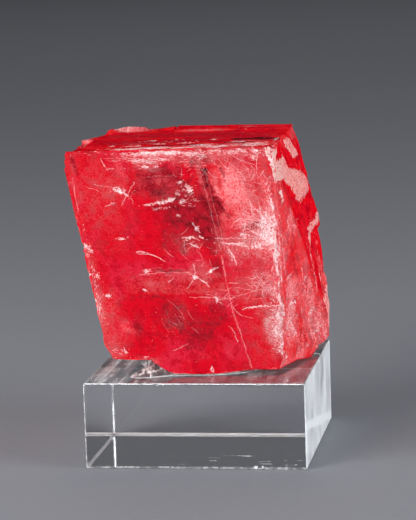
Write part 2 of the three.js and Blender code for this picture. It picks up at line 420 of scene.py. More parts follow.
def acrylic_finish():
    """Clear acrylic: polished in front, sawn on its right, dulled on top with painted brightness towards
    the left, and its edges whitened partly by wear and partly as painted highlight.
    """
    f = Finish("acrylic_clear", Base_Color=(0.99, 0.99, 0.995, 1), IOR=1.49)
    x, y, z = f.axes(f.place)
    side = f.rise(x, BLOCK_HALF - 0.3 * MM, BLOCK_HALF - 0.05 * MM)
    top = f.rise(z, BLOCK_TOP - 0.3 * MM, BLOCK_TOP - 0.05 * MM)
    front = f.rise(y, -BLOCK_HALF + 0.5 * MM, -BLOCK_HALF)
    saw = f.noise(f.stretched(f.place, (1, 420, 26)), 1.0, 4.0, 0.6)
    fleck = f.noise(f.stretched(f.place, (1, 1500, 300)), 1.0, 3.0, 0.7)
    cloud = f.noise(f.stretched(f.place, (1, 130, 90)), 1.0, 3.0, 0.6)
    wipe = f.noise(f.stretched(f.place, (520, 40, 1)), 1.0, 4.0, 0.65)
    dull = f.noise(f.place, 240.0, 4.0, 0.6)
    dashes = f.noise(f.place, 900.0, 3.0, 0.7)

    # edges: where two of the block's three pairs of sides meet, whitened in broken dashes as wear and as
    # painted highlight
    sides = ((x, 0.0, BLOCK_HALF), (y, 0.0, BLOCK_HALF), (z, BLOCK_TOP / 2, BLOCK_TOP / 2))
    near = [
        f.rise(f.distance(value, middle), half - 0.34 * MM, half - 0.12 * MM)
        for value, middle, half in sides
    ]
    edge = f.most(*(f.product(near[i], near[k]) for i, k in ((0, 1), (1, 2), (0, 2))))
    # painted highlight along the back and left foot edges
    back = f.rise(y, BLOCK_HALF - 0.70 * MM, BLOCK_HALF - 0.45 * MM)
    left = f.rise(x, -BLOCK_HALF + 0.70 * MM, -BLOCK_HALF + 0.45 * MM)
    low = f.rise(z, 0.55 * MM, 0.35 * MM)
    wide = f.most(f.product(back, low, 0.8), f.product(left, low, 0.8))
    front_foot = f.product(front, f.rise(z, 0.75 * MM, 0.5 * MM))
    edge = f.most(edge, f.product(front_foot, 0.45))
    worn_and_lit_edge = f.most(wide, f.product(edge, f.rise(dashes, 0.36, 0.62, 0.30, 1.0)))

    # hair scratches low on the front, and a few chips at its foot
    foot = f.product(f.rise(z, 7 * MM, 1 * MM), front)
    hairs = f.rise(f.noise(f.stretched(f.place, (110, 110, 3600)), 1.0, 3.0, 0.6), 0.60, 0.68)
    hairs = f.product(hairs, foot, f.rise(x, -14 * MM, 12 * MM, 0.2, 0.7), f.rise(dull, 0.46, 0.58))
    chips = f.rise(f.distance(x, CHIPS_X), 1.6 * MM, 0.6 * MM)
    chips = f.product(foot, chips, f.rise(z, 1.3 * MM, 0.4 * MM), f.rise(dashes, 0.44, 0.52))

    # the sawn side, with a painted slanting band of light where the lower back edge shines through it
    slope = f.total(z, f.product(y, BAND_SLOPE))
    band = f.rise(f.distance(slope, BAND_HEIGHT), 1.4 * MM, 0.4 * MM, 0.0, 0.5)
    sawn = f.total(f.rise(saw, 0.3, 0.7, 0.28, 0.80), f.rise(fleck, 0.52, 0.68, 0.0, 0.25))
    sawn = f.total(sawn, band, f.rise(cloud, 0.4, 0.65, -0.12, 0.2))
    wiped_and_lit_top = f.total(f.rise(wipe, 0.35, 0.7, 0.06, 0.30), f.rise(dull, 0.4, 0.7, 0.0, 0.12))
    # painted brightness: the top's whitening grows towards its left end, for light reflected inside from
    # the left side
    wiped_and_lit_top = f.product(wiped_and_lit_top, f.rise(x, -6 * MM, -17 * MM, 1.0, 1.7))
    cloudy = f.total(f.product(side, sawn), f.product(top, wiped_and_lit_top))
    cloudy = f.most(cloudy, f.product(worn_and_lit_edge, 0.95), hairs, chips)
    rough = f.total(f.product(side, f.rise(saw, 0.3, 0.7, 0.3, 0.5)), f.product(worn_and_lit_edge, 0.3))
    f.shade(Roughness=rough, Transmission_Weight=f.fade(cloudy, 0.0))
    f.bump(f.product(side, saw), 0.3, 0.06 * MM)
    f.absorb((0.93, 0.97, 1.0, 1), 1.5)
    return f.material


# ---- marks on the crystal ----
# Places are (u, h) shares of its front face, (v, h) of its right one and (u, v) of its top one.

# patches: centre, half length and half height in mm, tilt in degrees, and strength, which is full at 1 and
# keeps a patch full further out when it is more
FRONT_BRUISES = [
    ((0.22, 0.82), 1.7, 0.9, -12, 0.72), ((0.25, 0.80), 0.9, 0.4, -35, 0.6),
    ((0.42, 0.762), 2.8, 0.45, 6, 0.72), ((0.46, 0.772), 1.5, 0.5, 10, 0.7),
    ((0.35, 0.752), 1.6, 0.18, 3, 0.6), ((0.515, 0.76), 1.1, 0.50, 20, 0.7),
    ((0.565, 0.815), 1.1, 0.9, 30, 0.75), ((0.50, 0.80), 0.5, 0.7, 60, 0.65),
    ((0.525, 0.85), 1.0, 0.40, 15, 0.65), ((0.55, 0.835), 0.7, 0.4, -10, 0.6),
    ((0.41, 0.735), 2.4, 0.25, 4, 0.5), ((0.19, 0.605), 1.1, 0.22, 2, 0.75),
    ((0.40, 0.99), 5.0, 0.55, 2, 0.72), ((0.52, 0.985), 3.4, 0.7, -3, 0.78),
    ((0.345, 0.955), 2.2, 0.4, 8, 0.6), ((0.46, 0.955), 1.8, 0.45, -6, 0.62),
    ((0.37, 0.925), 1.4, 0.5, 0, 0.6), ((0.42, 0.925), 1.0, 0.3, 20, 0.5),
    ((0.60, 0.975), 1.8, 0.6, 10, 0.6), ((0.66, 0.965), 0.7, 0.6, 0, 0.6),
    ((0.72, 0.99), 3.4, 0.3, 0, 0.45), ((0.82, 0.985), 2.4, 0.5, 5, 0.5),
    ((0.91, 0.985), 1.8, 0.7, -10, 0.62), ((0.90, 0.955), 0.9, 0.9, 0, 0.5),
    ((0.52, 0.60), 1.7, 0.32, 0, 0.72), ((0.53, 0.56), 1.0, 0.3, -20, 0.7),
    ((0.56, 0.64), 0.5, 0.8, -50, 0.7), ((0.57, 0.60), 1.0, 0.3, -30, 0.6),
    ((0.50, 0.59), 0.9, 0.3, 25, 0.5), ((0.90, 0.60), 2.4, 3.2, 20, 0.70),
    ((0.93, 0.55), 1.1, 3.4, 0, 0.80), ((0.84, 0.555), 2.6, 0.9, 5, 0.58),
    ((0.905, 0.66), 1.4, 2.4, 0, 0.66), ((0.79, 0.60), 1.6, 0.8, -20, 0.46),
    ((0.92, 0.50), 1.2, 2.0, 0, 0.72), ((0.945, 0.72), 0.5, 3.0, 0, 0.6),
    ((0.915, 0.45), 0.8, 2.0, 0, 0.7), ((0.92, 0.42), 0.6, 1.4, 0, 0.75),
    ((0.91, 0.38), 0.7, 1.4, 0, 0.72), ((0.895, 0.31), 0.9, 1.8, 0, 0.72),
    ((0.87, 0.24), 1.1, 2.2, 0, 0.54), ((0.845, 0.17), 1.3, 2.0, 0, 0.48),
    ((0.86, 0.09), 1.3, 2.2, 0, 0.50), ((0.25, 0.37), 0.38, 0.38, 0, 0.95),
    ((0.07, 0.35), 0.8, 0.45, 0, 0.8), ((0.28, 0.455), 1.0, 0.5, 5, 0.66),
    ((0.585, 0.325), 0.6, 0.9, 0, 0.7), ((0.505, 0.42), 0.7, 0.5, -20, 0.85),
    ((0.595, 0.45), 1.6, 0.3, 28, 0.7), ((0.73, 0.565), 2.8, 0.28, -3, 0.7),
    ((0.70, 0.52), 0.5, 1.6, 15, 0.5), ((0.78, 0.28), 3.2, 0.25, 3, 0.7),
    ((0.10, 0.10), 0.3, 0.5, 20, 0.7), ((0.20, 0.07), 1.0, 0.4, 0, 0.5),
    ((0.50, 0.02), 0.4, 0.7, 0, 0.7), ((0.03, 0.56), 0.5, 1.0, 0, 0.6),
    ((0.04, 0.44), 0.5, 0.8, 0, 0.6), ((0.48, 0.70), 0.4, 0.3, 0, 0.6),
]
FRONT_WEBS = [
    ((0.86, 0.62), 5.4, 6.6, 5, 1.0), ((0.94, 0.55), 1.6, 15.0, 3, 1.0),
    ((0.84, 0.38), 3.6, 4.0, 20, 0.8), ((0.86, 0.19), 3.2, 7.0, 0, 1.0),
    ((0.83, 0.80), 6.0, 7.0, 0, 0.65), ((0.82, 0.95), 7.0, 2.2, 0, 0.5),
    ((0.62, 0.95), 5.0, 1.6, 0, 0.5), ((0.50, 0.80), 5.0, 2.4, 0, 0.35),
    ((0.66, 0.58), 2.6, 4.0, 5, 0.4), ((0.74, 0.53), 4.4, 3.0, 0, 0.6),
    ((0.50, 0.58), 4.0, 2.4, 0, 0.4), ((0.54, 0.44), 3.0, 2.4, 0, 0.4),
    ((0.02, 0.35), 1.2, 9.0, 0, 0.5), ((0.04, 0.12), 2.4, 3.0, 0, 0.25),
    ((0.58, 0.33), 3.0, 1.6, 0, 0.35), ((0.74, 0.36), 3.4, 3.0, 0, 0.4),
    ((0.38, 0.25), 2.4, 3.4, -30, 0.25), ((0.20, 0.82), 3.0, 2.4, 0, 0.25),
]
FRONT_LAYERS = [
    ((0.40, 0.965), 5.4, 1.2, 0, 1.0), ((0.48, 0.985), 8.0, 0.6, 0, 0.8),
    ((0.66, 0.97), 6.0, 1.2, 0, 0.5), ((0.38, 0.915), 3.4, 0.8, 0, 0.55),
    ((0.88, 0.975), 5.0, 1.2, 0, 0.5), ((0.72, 0.58), 5.0, 1.0, 0, 0.5),
    ((0.40, 0.45), 9.0, 0.6, 0, 0.3), ((0.04, 0.10), 2.4, 2.0, 0, 0.3),
    ((0.02, 0.28), 1.4, 4.0, 0, 0.5), ((0.85, 0.19), 2.2, 4.4, 0, 0.8),
    ((0.42, 0.865), 3.4, 0.7, 0, 0.3),
]
FRONT_HAZE = [
    ((0.76, 0.82), 4.0, 6.0, 8, 0.95), ((0.78, 0.71), 5.0, 5.0, 0, 0.58),
    ((0.88, 0.90), 6.0, 4.5, 0, 0.28), ((0.93, 0.75), 2.6, 9.0, 0, 0.55),
    ((0.90, 0.57), 4.0, 5.0, 0, 0.55), ((0.90, 0.38), 2.4, 7.0, 0, 0.45),
    ((0.87, 0.18), 2.8, 7.0, 0, 0.22), ((0.24, 0.93), 1.2, 4.4, 5, 0.34),
    ((0.42, 0.85), 4.8, 3.0, 0, 0.30), ((0.06, 0.22), 3.0, 8.0, 0, 0.22),
    ((0.02, 0.80), 1.8, 12.0, 0, 0.22), ((0.12, 0.80), 6.0, 10.0, 0, 0.20),
    ((0.13, 0.21), 1.6, 1.8, 0, 0.5), ((0.20, 0.05), 3.0, 1.2, 0, 0.4),
    ((0.28, 0.41), 2.4, 1.4, 0, 0.35), ((0.07, 0.30), 2.4, 4.0, 0, 0.3),
    ((0.42, 0.975), 9.0, 1.2, 0, 0.22), ((0.68, 0.97), 8.0, 1.4, 0, 0.26),
    ((0.77, 0.54), 4.4, 1.6, 0, 0.35), ((0.75, 0.12), 4.0, 6.0, 0, 0.18),
    ((0.75, 0.40), 4.0, 4.0, 0, 0.18), ((0.52, 0.965), 1.6, 2.0, 0, 0.3),
]
# painted shade on the front: dark patches where its inside lies in shadow
FRONT_PAINTED_SHADE = [
    ((0.44, 0.85), 7.4, 4.4, 0, 0.66), ((0.54, 0.72), 8.0, 6.4, -10, 0.68),
    ((0.61, 0.68), 3.8, 8.6, 0, 0.74), ((0.50, 0.62), 7.0, 5.0, 0, 0.46),
    ((0.37, 0.26), 5.0, 5.0, -20, 0.34), ((0.37, 0.26), 1.8, 3.0, -20, 0.60),
    ((0.19, 0.20), 1.8, 4.0, -10, 0.32), ((0.03, 0.935), 0.5, 2.6, 8, 0.75),
    ((0.62, 0.46), 1.6, 2.8, 0, 0.60), ((0.42, 0.58), 4.0, 3.0, 0, 0.36),
    ((0.83, 0.645), 2.8, 1.2, 15, 0.62), ((0.88, 0.60), 0.9, 0.8, 0, 0.5),
    ((0.735, 0.70), 0.8, 0.8, 0, 0.40), ((0.58, 0.26), 2.6, 3.8, 0, 0.42),
    ((0.38, 0.455), 4.4, 0.35, 0, 0.65), ((0.35, 0.50), 3.4, 1.8, 0, 0.3),
    ((0.46, 0.19), 5.2, 5.4, 0, 0.44), ((0.80, 0.33), 1.6, 0.8, 10, 0.35),
    ((0.66, 0.95), 1.6, 1.4, 0, 0.5), ((0.60, 0.93), 1.0, 1.8, 0, 0.45),
    ((0.735, 0.89), 0.5, 2.4, 8, 0.4), ((0.30, 0.34), 7.0, 0.5, 0, 0.3),
]
FRONT_GLOW = [  # where it is clearest, and purest in colour
    ((0.56, 0.875), 1.4, 1.5, 0, 1.0), ((0.71, 0.84), 0.7, 1.8, 0, 0.9),
    ((0.885, 0.935), 1.8, 1.8, 30, 1.0), ((0.81, 0.955), 1.6, 0.8, 20, 0.8),
    ((0.74, 0.945), 1.2, 0.8, 0, 0.8), ((0.90, 0.80), 1.2, 2.6, 10, 0.6),
    ((0.79, 0.625), 1.6, 0.6, 10, 0.7), ((0.735, 0.705), 0.9, 0.8, 0, 0.7),
    ((0.62, 0.90), 0.5, 2.0, 0, 0.7), ((0.28, 0.50), 6.0, 4.0, 20, 0.5),
    ((0.30, 0.62), 5.0, 4.0, 0, 0.6), ((0.66, 0.12), 5.0, 3.0, 0, 0.5),
]
COLUMNS = [  # painted shade in columns, in the upright of the crystal
    [(0.628, 0.91), (0.668, 0.915), (0.668, 0.85), (0.680, 0.80), (0.648, 0.79), (0.630, 0.84)],
    [(0.648, 0.79), (0.70, 0.785), (0.712, 0.71), (0.66, 0.69), (0.660, 0.745)],
]
PLANK = [  # a sheet's edge, with pale haze and painted shade
    (0.60, 0.99), (0.64, 0.98), (0.655, 0.78), (0.668, 0.54), (0.64, 0.54), (0.625, 0.78),
]
BAND = [  # a sheet within, painted as a pale band for its reflection, with painted shade along it
    (0.16, 0.437), (0.50, 0.447), (0.64, 0.44), (0.64, 0.345), (0.36, 0.352), (0.155, 0.36),
]
CRUST = [  # the pale skin that is left on the right face
    [(-0.2, 1.0), (0.16, 0.985), (0.13, 0.955), (0.05, 0.94), (0.12, 0.925), (0.30, 0.935),
     (0.38, 0.89), (0.46, 0.85), (0.62, 0.835), (0.83, 0.80), (0.95, 0.75), (0.92, 0.70), (0.69, 0.675),
     (0.50, 0.69), (0.44, 0.75), (0.26, 0.80), (0.17, 0.83), (0.04, 0.835), (-0.2, 0.85)],
    [(0.50, 0.985), (0.66, 0.975), (0.80, 0.915), (0.86, 0.875), (0.76, 0.865), (0.62, 0.90),
     (0.50, 0.95)],
    [(0.09, 0.80), (0.13, 0.80), (0.15, 0.75), (0.12, 0.73), (0.11, 0.75)],
    [(0.70, 0.545), (0.85, 0.56), (0.99, 0.585), (0.99, 0.54), (0.86, 0.53), (0.74, 0.51), (0.66, 0.46),
     (0.63, 0.47)],
    [(0.74, 0.20), (0.88, 0.26), (0.99, 0.22), (0.99, 0.06), (0.86, 0.03), (0.80, 0.10)],
]
FRONT_CRUST = [(0.962, 1.0), (1.0, 1.0), (1.0, 0.84), (0.984, 0.85), (0.974, 0.92)]
RIGHT_HAZE = [
    ((0.17, 0.33), 2.6, 3.2, 0, 0.85), ((0.11, 0.17), 3.0, 3.4, 0, 0.50),
    ((0.03, 0.65), 0.6, 12.0, 0, 0.35), ((0.62, 0.12), 5.0, 3.0, 0, 0.32),
    ((0.88, 0.16), 2.0, 5.0, 0, 0.40), ((0.40, 0.20), 3.0, 2.4, 0, 0.22),
    ((0.20, 0.60), 3.0, 8.0, 0, 0.08), ((0.60, 0.36), 1.4, 6.0, 0, 0.15),
]
RIGHT_BRUISES = [
    ((0.11, 0.18), 2.0, 1.8, 0, 0.52), ((0.18, 0.14), 1.3, 1.2, 0, 0.50),
    ((0.02, 0.27), 0.6, 1.8, 0, 0.66), ((0.03, 0.55), 0.4, 5.0, 0, 0.56),
    ((0.04, 0.42), 0.4, 3.0, 0, 0.66), ((0.08, 0.04), 1.0, 1.2, 0, 0.5),
    ((0.22, 0.265), 4.4, 0.4, 8, 0.58), ((0.14, 0.385), 2.0, 0.4, 20, 0.55),
    ((0.50, 0.18), 2.4, 0.8, 10, 0.55), ((0.38, 0.39), 0.22, 2.2, 0, 0.66),
    ((0.43, 0.34), 0.22, 1.5, -40, 0.6), ((0.05, 0.69), 0.3, 2.4, 5, 0.56),
    ((0.62, 0.44), 0.25, 1.6, 0, 0.62), ((0.62, 0.285), 0.22, 2.2, 0, 0.6),
    ((0.78, 0.30), 0.25, 2.0, 0, 0.62), ((0.58, 0.085), 4.6, 0.5, 12, 0.60),
    ((0.20, 0.635), 0.25, 1.8, -20, 0.66), ((0.11, 0.78), 0.3, 1.9, 5, 0.72),
    ((0.70, 0.48), 1.6, 0.25, 20, 0.6), ((0.55, 0.05), 2.4, 0.6, 0, 0.5),
    ((0.88, 0.24), 0.4, 2.4, 0, 0.5),
]
RIGHT_WEBS = [
    ((0.10, 0.19), 3.4, 5.0, 0, 1.0), ((0.03, 0.55), 0.9, 14.0, 0, 0.75),
    ((0.55, 0.12), 8.0, 4.6, 0, 0.75), ((0.30, 0.32), 5.0, 3.4, 0, 0.5),
    ((0.85, 0.25), 2.6, 8.0, 0, 0.4), ((0.30, 0.44), 3.0, 3.0, 0, 0.2),
]
TOP_BRUISES = [
    ((0.30, 0.05), 3.4, 1.2, 4, 0.62), ((0.42, 0.10), 3.4, 1.6, 10, 0.62),
    ((0.55, 0.07), 3.6, 1.6, -4, 0.60), ((0.64, 0.17), 2.6, 1.4, 0, 0.54),
    ((0.72, 0.08), 2.6, 1.8, 20, 0.54), ((0.80, 0.27), 1.8, 1.2, 0, 0.52),
    ((0.90, 0.12), 3.4, 2.6, 0, 0.58), ((0.30, 0.20), 2.4, 0.9, 3, 0.48),
    ((0.42, 0.26), 1.8, 0.8, -8, 0.48), ((0.54, 0.28), 2.0, 0.8, 6, 0.48),
    ((0.98, 0.34), 0.5, 3.0, 0, 0.55), ((0.17, 0.96), 3.6, 0.8, 0, 0.50),
    ((0.10, 0.90), 4.0, 2.0, 0, 0.50), ((0.19, 0.22), 0.7, 0.9, 0, 0.54),
    ((0.01, 0.42), 0.4, 3.0, 0, 0.55), ((0.66, 0.40), 1.0, 0.8, 0, 0.48),
    ((0.36, 0.42), 1.2, 0.7, 0, 0.46),
]
TOP_WEBS = [
    ((0.60, 0.08), 12.0, 2.4, 0, 0.5), ((0.86, 0.18), 5.0, 4.5, 0, 0.6),
    ((0.36, 0.08), 6.0, 1.6, 0, 0.5),
]
TOP_LAYERS = [
    ((0.42, 0.08), 10.0, 1.8, 0, 0.35), ((0.72, 0.12), 8.0, 2.6, 0, 0.25),
    ((0.34, 0.30), 5.0, 0.7, 3, 0.35),
]
TOP_HAZE = [
    ((0.13, 0.94), 5.2, 2.8, 0, 1.0), ((0.55, 0.84), 5.0, 1.0, 0, 0.5),
    ((0.78, 0.945), 2.4, 0.7, 0, 0.5), ((0.87, 0.12), 4.0, 1.6, 0, 0.30),
    ((0.0, 0.55), 1.2, 4.0, 0, 0.8),
]
# painted shade on the top: dark patches for the deep, shadowed look into the crystal
TOP_PAINTED_SHADE = [
    ((0.30, 0.36), 12.0, 4.6, 0, 0.40), ((0.75, 0.55), 12.0, 6.0, 0, 0.32),
    ((0.80, 0.40), 2.4, 1.9, -2, 2.2), ((0.87, 0.40), 2.4, 2.1, -2, 2.5),
    ((0.93, 0.39), 1.4, 1.9, -2, 2.2), ((0.975, 0.36), 0.8, 1.6, 0, 2.2),
    ((0.30, 0.66), 12.0, 5.0, 0, 0.34), ((0.80, 0.25), 4.0, 1.4, 0, 0.9),
    ((0.58, 0.19), 3.6, 1.3, 0, 0.8), ((0.46, 0.19), 3.6, 1.3, 0, 0.8),
    ((0.36, 0.13), 2.6, 1.0, 0, 0.7), ((0.60, 0.65), 14.0, 4.0, 0, 0.40),
    ((0.50, 0.38), 10.0, 3.0, 0, 0.46), ((0.70, 0.30), 3.0, 1.0, 0, 0.7),
]
# how each kind of mark spreads: how far its outline wanders in mm, the reach at which it ends, and the
# reach within which it is full
SPREAD = {
    "bruise": (0.35, 1.25, 0.55), "web": (1.2, 1.5, 0.3), "layers": (1.2, 1.5, 0.3),
    "haze": (1.3, 1.7, 0.0), "painted_shade": (0.7, 1.3, 0.45),
}

# cuts: planes through three points in shares, past which the crystal is chipped away
CUTS = [
    ((0.0, 0.0, 0.145), (0.042, 0.0, 0.062), (0.0, 0.9, 0.10)),
    ((1.0, 0.0, 0.965), (0.985, 0.0, 1.0), (1.0, 0.04, 1.0)),
    ((0.60, 1.0, 0.0), (0.55, 1.0, 0.06), (0.30, 0.95, 0.03)),
]
# swells: middle in shares, radius and rise in mm
SWELLS = [
    ((0.91, 0.42, 0.02), 6.0, 1.2), ((0.46, 0.0, 0.0), 13.0, 0.75), ((0.075, 0.88, 0.99), 4.6, 1.5),
]
# how far the crystal bulges past its flat faces, in mm, at shares of its height along its back right edge
# and at shares of its width along its back top one
BACK_RIGHT_BULGE = [
    (0.0, 0.0), (0.09, 0.3), (0.15, 0.75), (0.21, 0.65), (0.25, 1.15), (0.28, 1.1), (0.31, 0.6),
    (0.39, 0.5), (0.45, 0.5), (0.505, 0.4), (0.52, 1.2), (0.57, 1.3), (0.68, 0.75), (0.77, 0.55),
    (0.84, 0.3), (1.0, 0.0),
]
BACK_TOP_BULGE = [
    (0.04, 0.0), (0.06, 0.5), (0.20, 0.2), (0.21, 0.65), (0.235, 0.55), (0.25, 0.02), (0.30, 0.12),
    (0.35, 0.36), (0.385, 0.60), (0.396, 0.10), (0.41, 0.0),
]

# scratches: half width in mm, and the points they run through
FRONT_SCRATCHES = [
    (0.025, [(0.62, 0.985), (0.63, 0.89), (0.64, 0.78), (0.645, 0.67), (0.655, 0.54)]),
    (0.02, [(0.64, 0.98), (0.655, 0.89), (0.66, 0.78), (0.67, 0.67), (0.675, 0.54)]),
    (0.14, [(0.165, 0.965), (0.175, 0.935), (0.185, 0.915)]), (0.07, [(0.18, 0.915), (0.22, 0.92)]),
    (0.06, [(0.305, 0.855), (0.275, 0.82), (0.26, 0.80), (0.22, 0.755)]),
    (0.03, [(0.30, 0.82), (0.27, 0.79), (0.28, 0.76)]),
    (0.03, [(0.07, 0.84), (0.10, 0.83), (0.125, 0.82)]),
    (0.035, [(0.11, 0.85), (0.15, 0.84), (0.19, 0.84)]),
    (0.07, [(0.14, 0.75), (0.165, 0.757), (0.19, 0.765)]), (0.04, [(0.175, 0.772), (0.185, 0.755)]),
    (0.025, [(0.35, 0.875), (0.42, 0.880), (0.50, 0.878)]),
    (0.07, [(0.33, 0.75), (0.40, 0.762), (0.47, 0.77)]),
    (0.16, [(0.25, 0.545), (0.28, 0.541), (0.31, 0.533), (0.345, 0.515), (0.375, 0.498)]),
    (0.10, [(0.25, 0.537), (0.28, 0.532), (0.305, 0.53)]),
    (0.08, [(0.48, 0.60), (0.52, 0.603), (0.56, 0.588)]), (0.07, [(0.51, 0.572), (0.55, 0.553)]),
    (0.13, [(0.17, 0.608), (0.21, 0.602)]), (0.12, [(0.545, 0.665), (0.57, 0.62)]),
    (0.22, [(0.495, 0.428), (0.515, 0.42), (0.54, 0.40), (0.565, 0.378)]),
    (0.05, [(0.505, 0.42), (0.47, 0.445)]), (0.06, [(0.505, 0.42), (0.51, 0.48)]),
    (0.07, [(0.505, 0.42), (0.475, 0.39), (0.45, 0.37)]),
    (0.03, [(0.51, 0.43), (0.48, 0.443), (0.36, 0.447), (0.24, 0.44)]),
    (0.06, [(0.40, 0.42), (0.37, 0.40)]), (0.06, [(0.56, 0.437), (0.59, 0.45), (0.625, 0.465)]),
    (0.02, [(0.345, 0.325), (0.39, 0.29), (0.415, 0.235)]), (0.015, [(0.33, 0.275), (0.345, 0.225)]),
    (0.015, [(0.36, 0.245), (0.39, 0.25), (0.415, 0.24)]), (0.08, [(0.098, 0.115), (0.105, 0.09)]),
    (0.06, [(0.085, 0.11), (0.095, 0.09)]), (0.04, [(0.33, 0.10), (0.37, 0.115), (0.41, 0.13)]),
    (0.05, [(0.46, 0.332), (0.56, 0.33), (0.65, 0.322)]),
    (0.04, [(0.65, 0.322), (0.73, 0.342), (0.82, 0.362)]), (0.05, [(0.65, 0.39), (0.71, 0.39)]),
    (0.16, [(0.70, 0.273), (0.74, 0.282), (0.80, 0.285), (0.88, 0.283)]),
    (0.16, [(0.66, 0.575), (0.72, 0.567), (0.79, 0.55)]),
    (0.06, [(0.64, 0.592), (0.71, 0.592), (0.79, 0.59)]),
    (0.07, [(0.685, 0.555), (0.71, 0.51), (0.715, 0.47)]),
    (0.08, [(0.84, 0.755), (0.842, 0.72), (0.845, 0.68)]),
    (0.09, [(0.885, 0.73), (0.88, 0.68), (0.87, 0.64)]),
    (0.07, [(0.80, 0.66), (0.78, 0.62), (0.76, 0.60)]),
    (0.06, [(0.86, 0.60), (0.80, 0.63), (0.77, 0.67)]),
    (0.06, [(0.74, 0.66), (0.78, 0.68), (0.84, 0.67), (0.89, 0.66)]),
    (0.05, [(0.78, 0.98), (0.84, 0.94), (0.90, 0.92)]),
    (0.05, [(0.93, 0.97), (0.91, 0.93), (0.90, 0.88)]),
    (0.05, [(0.73, 0.95), (0.76, 0.91), (0.80, 0.90)]),
    (0.05, [(0.62, 0.20), (0.64, 0.17), (0.645, 0.13)]),
    (0.04, [(0.65, 0.29), (0.68, 0.25), (0.74, 0.23)]),
]
PALE_CRACK = [
    (0.652, 0.515), (0.65, 0.41), (0.651, 0.32), (0.653, 0.26), (0.668, 0.17), (0.68, 0.07),
    (0.69, 0.01),
]
# sprays of short slivers: middle, half length and half height in mm, tilt, scatter of the tilt, how many
FRONT_SPRAYS = [
    ((0.40, 0.985), 9.0, 0.7, 0, 14, 130), ((0.64, 0.985), 8.0, 0.8, 0, 16, 100),
    ((0.85, 0.98), 6.0, 1.0, 5, 25, 70), ((0.89, 0.60), 2.6, 4.4, 60, 70, 260),
    ((0.94, 0.78), 1.0, 7.0, 84, 40, 80), ((0.90, 0.34), 1.3, 8.0, 80, 50, 150),
    ((0.85, 0.18), 1.8, 5.0, 5, 35, 130), ((0.62, 0.94), 4.0, 1.6, 5, 20, 30),
    ((0.36, 0.95), 4.0, 1.4, 0, 10, 40), ((0.02, 0.40), 0.4, 12.0, 80, 25, 50),
    ((0.04, 0.10), 1.6, 1.2, 0, 16, 12), ((0.55, 0.77), 3.0, 3.0, 20, 35, 40),
]
RIGHT_SPRAYS = [
    ((0.05, 0.60), 0.8, 16.0, 86, 45, 70), ((0.12, 0.22), 2.2, 5.0, 70, 50, 80),
    ((0.50, 0.12), 6.0, 4.0, 40, 50, 90), ((0.62, 0.36), 3.0, 7.0, 86, 14, 30),
    ((0.88, 0.35), 1.6, 10.0, 86, 14, 40), ((0.30, 0.60), 5.0, 6.0, 86, 14, 16),
    ((0.45, 0.03), 9.0, 0.8, 10, 20, 50), ((0.85, 0.12), 2.0, 3.0, 60, 40, 40),
]
TOP_SPRAYS = [
    ((0.40, 0.08), 10.0, 1.6, 0, 12, 120), ((0.68, 0.12), 9.0, 2.4, 0, 16, 130),
    ((0.90, 0.18), 4.0, 3.0, 10, 30, 60), ((0.45, 0.40), 12.0, 3.0, 2, 8, 16),
    ((0.15, 0.95), 4.0, 1.0, 0, 20, 20),
]
# long thin hairs, as the sprays
FRONT_HAIRS = [
    ((0.85, 0.66), 4.6, 5.0, 60, 70, 120), ((0.84, 0.88), 6.0, 4.0, 20, 70, 40),
    ((0.82, 0.38), 3.4, 3.0, 20, 70, 50), ((0.86, 0.19), 2.2, 5.0, 20, 60, 50),
    ((0.60, 0.90), 5.0, 3.0, 0, 50, 30), ((0.50, 0.55), 5.0, 4.0, 10, 60, 20),
    ((0.37, 0.25), 3.0, 3.4, -60, 24, 5), ((0.66, 0.34), 4.0, 3.0, 5, 30, 20),
    ((0.35, 0.97), 7.0, 1.2, 0, 4, 26),
]
RIGHT_HAIRS = [((0.10, 0.25), 3.0, 6.0, 70, 60, 40), ((0.50, 0.12), 6.0, 4.0, 30, 60, 40)]
# what shows through the crystal: middle (u, v, h), half sizes in mm, how many flakes, mean size in mm,
# and the cleavage plane they lie near
INNER_CLOUDS = [
    ((0.78, 0.14, 0.76), (3.6, 2.6, 5.6), 520, 0.75, "front"),
    ((0.90, 0.12, 0.60), (2.6, 2.6, 5.0), 420, 0.7, "right"),
    ((0.45, 0.10, 0.95), (9.0, 2.2, 1.2), 300, 0.8, "top"),
    ((0.64, 0.30, 0.78), (0.7, 7.0, 6.0), 240, 0.9, "right"),
    ((0.90, 0.16, 0.30), (2.4, 3.0, 6.0), 300, 0.7, "right"),
    ((0.34, 0.30, 0.42), (11.0, 6.0, 0.8), 260, 1.1, "top"),
    ((0.86, 0.60, 0.20), (3.4, 6.0, 4.6), 320, 0.8, "right"),
    ((0.94, 0.30, 0.84), (1.6, 4.6, 4.0), 220, 0.7, "right"),
    ((0.50, 0.50, 0.50), (18.0, 12.0, 20.0), 420, 1.1, "front"),
    ((0.15, 0.50, 0.30), (4.0, 9.0, 12.0), 160, 1.0, "right"),
]


def patch_strength(chart, patches, seed, wander, ends, full):
    """How strongly a list of patches marks each point of a face's chart, given in mm."""
    total = np.zeros(len(chart))
    flat = np.column_stack([chart * 0.45, np.full(len(chart), seed)])
    jagged = layered(flat * 1.6, seed, 4)
    chart = chart + wander * np.column_stack([layered(flat, seed + 50), layered(flat, seed + 90)])
    for centre, half_length, half_height, tilt, strength in patches:
        away = chart - centre
        turn = math.radians(tilt)
        along = (away[:, 0] * math.cos(turn) + away[:, 1] * math.sin(turn)) / half_length
        over = (away[:, 1] * math.cos(turn) - away[:, 0] * math.sin(turn)) / half_height
        reach = np.hypot(along, over) + 0.35 * jagged
        total = np.maximum(total, strength * smooth(ends, full, reach))
    return total


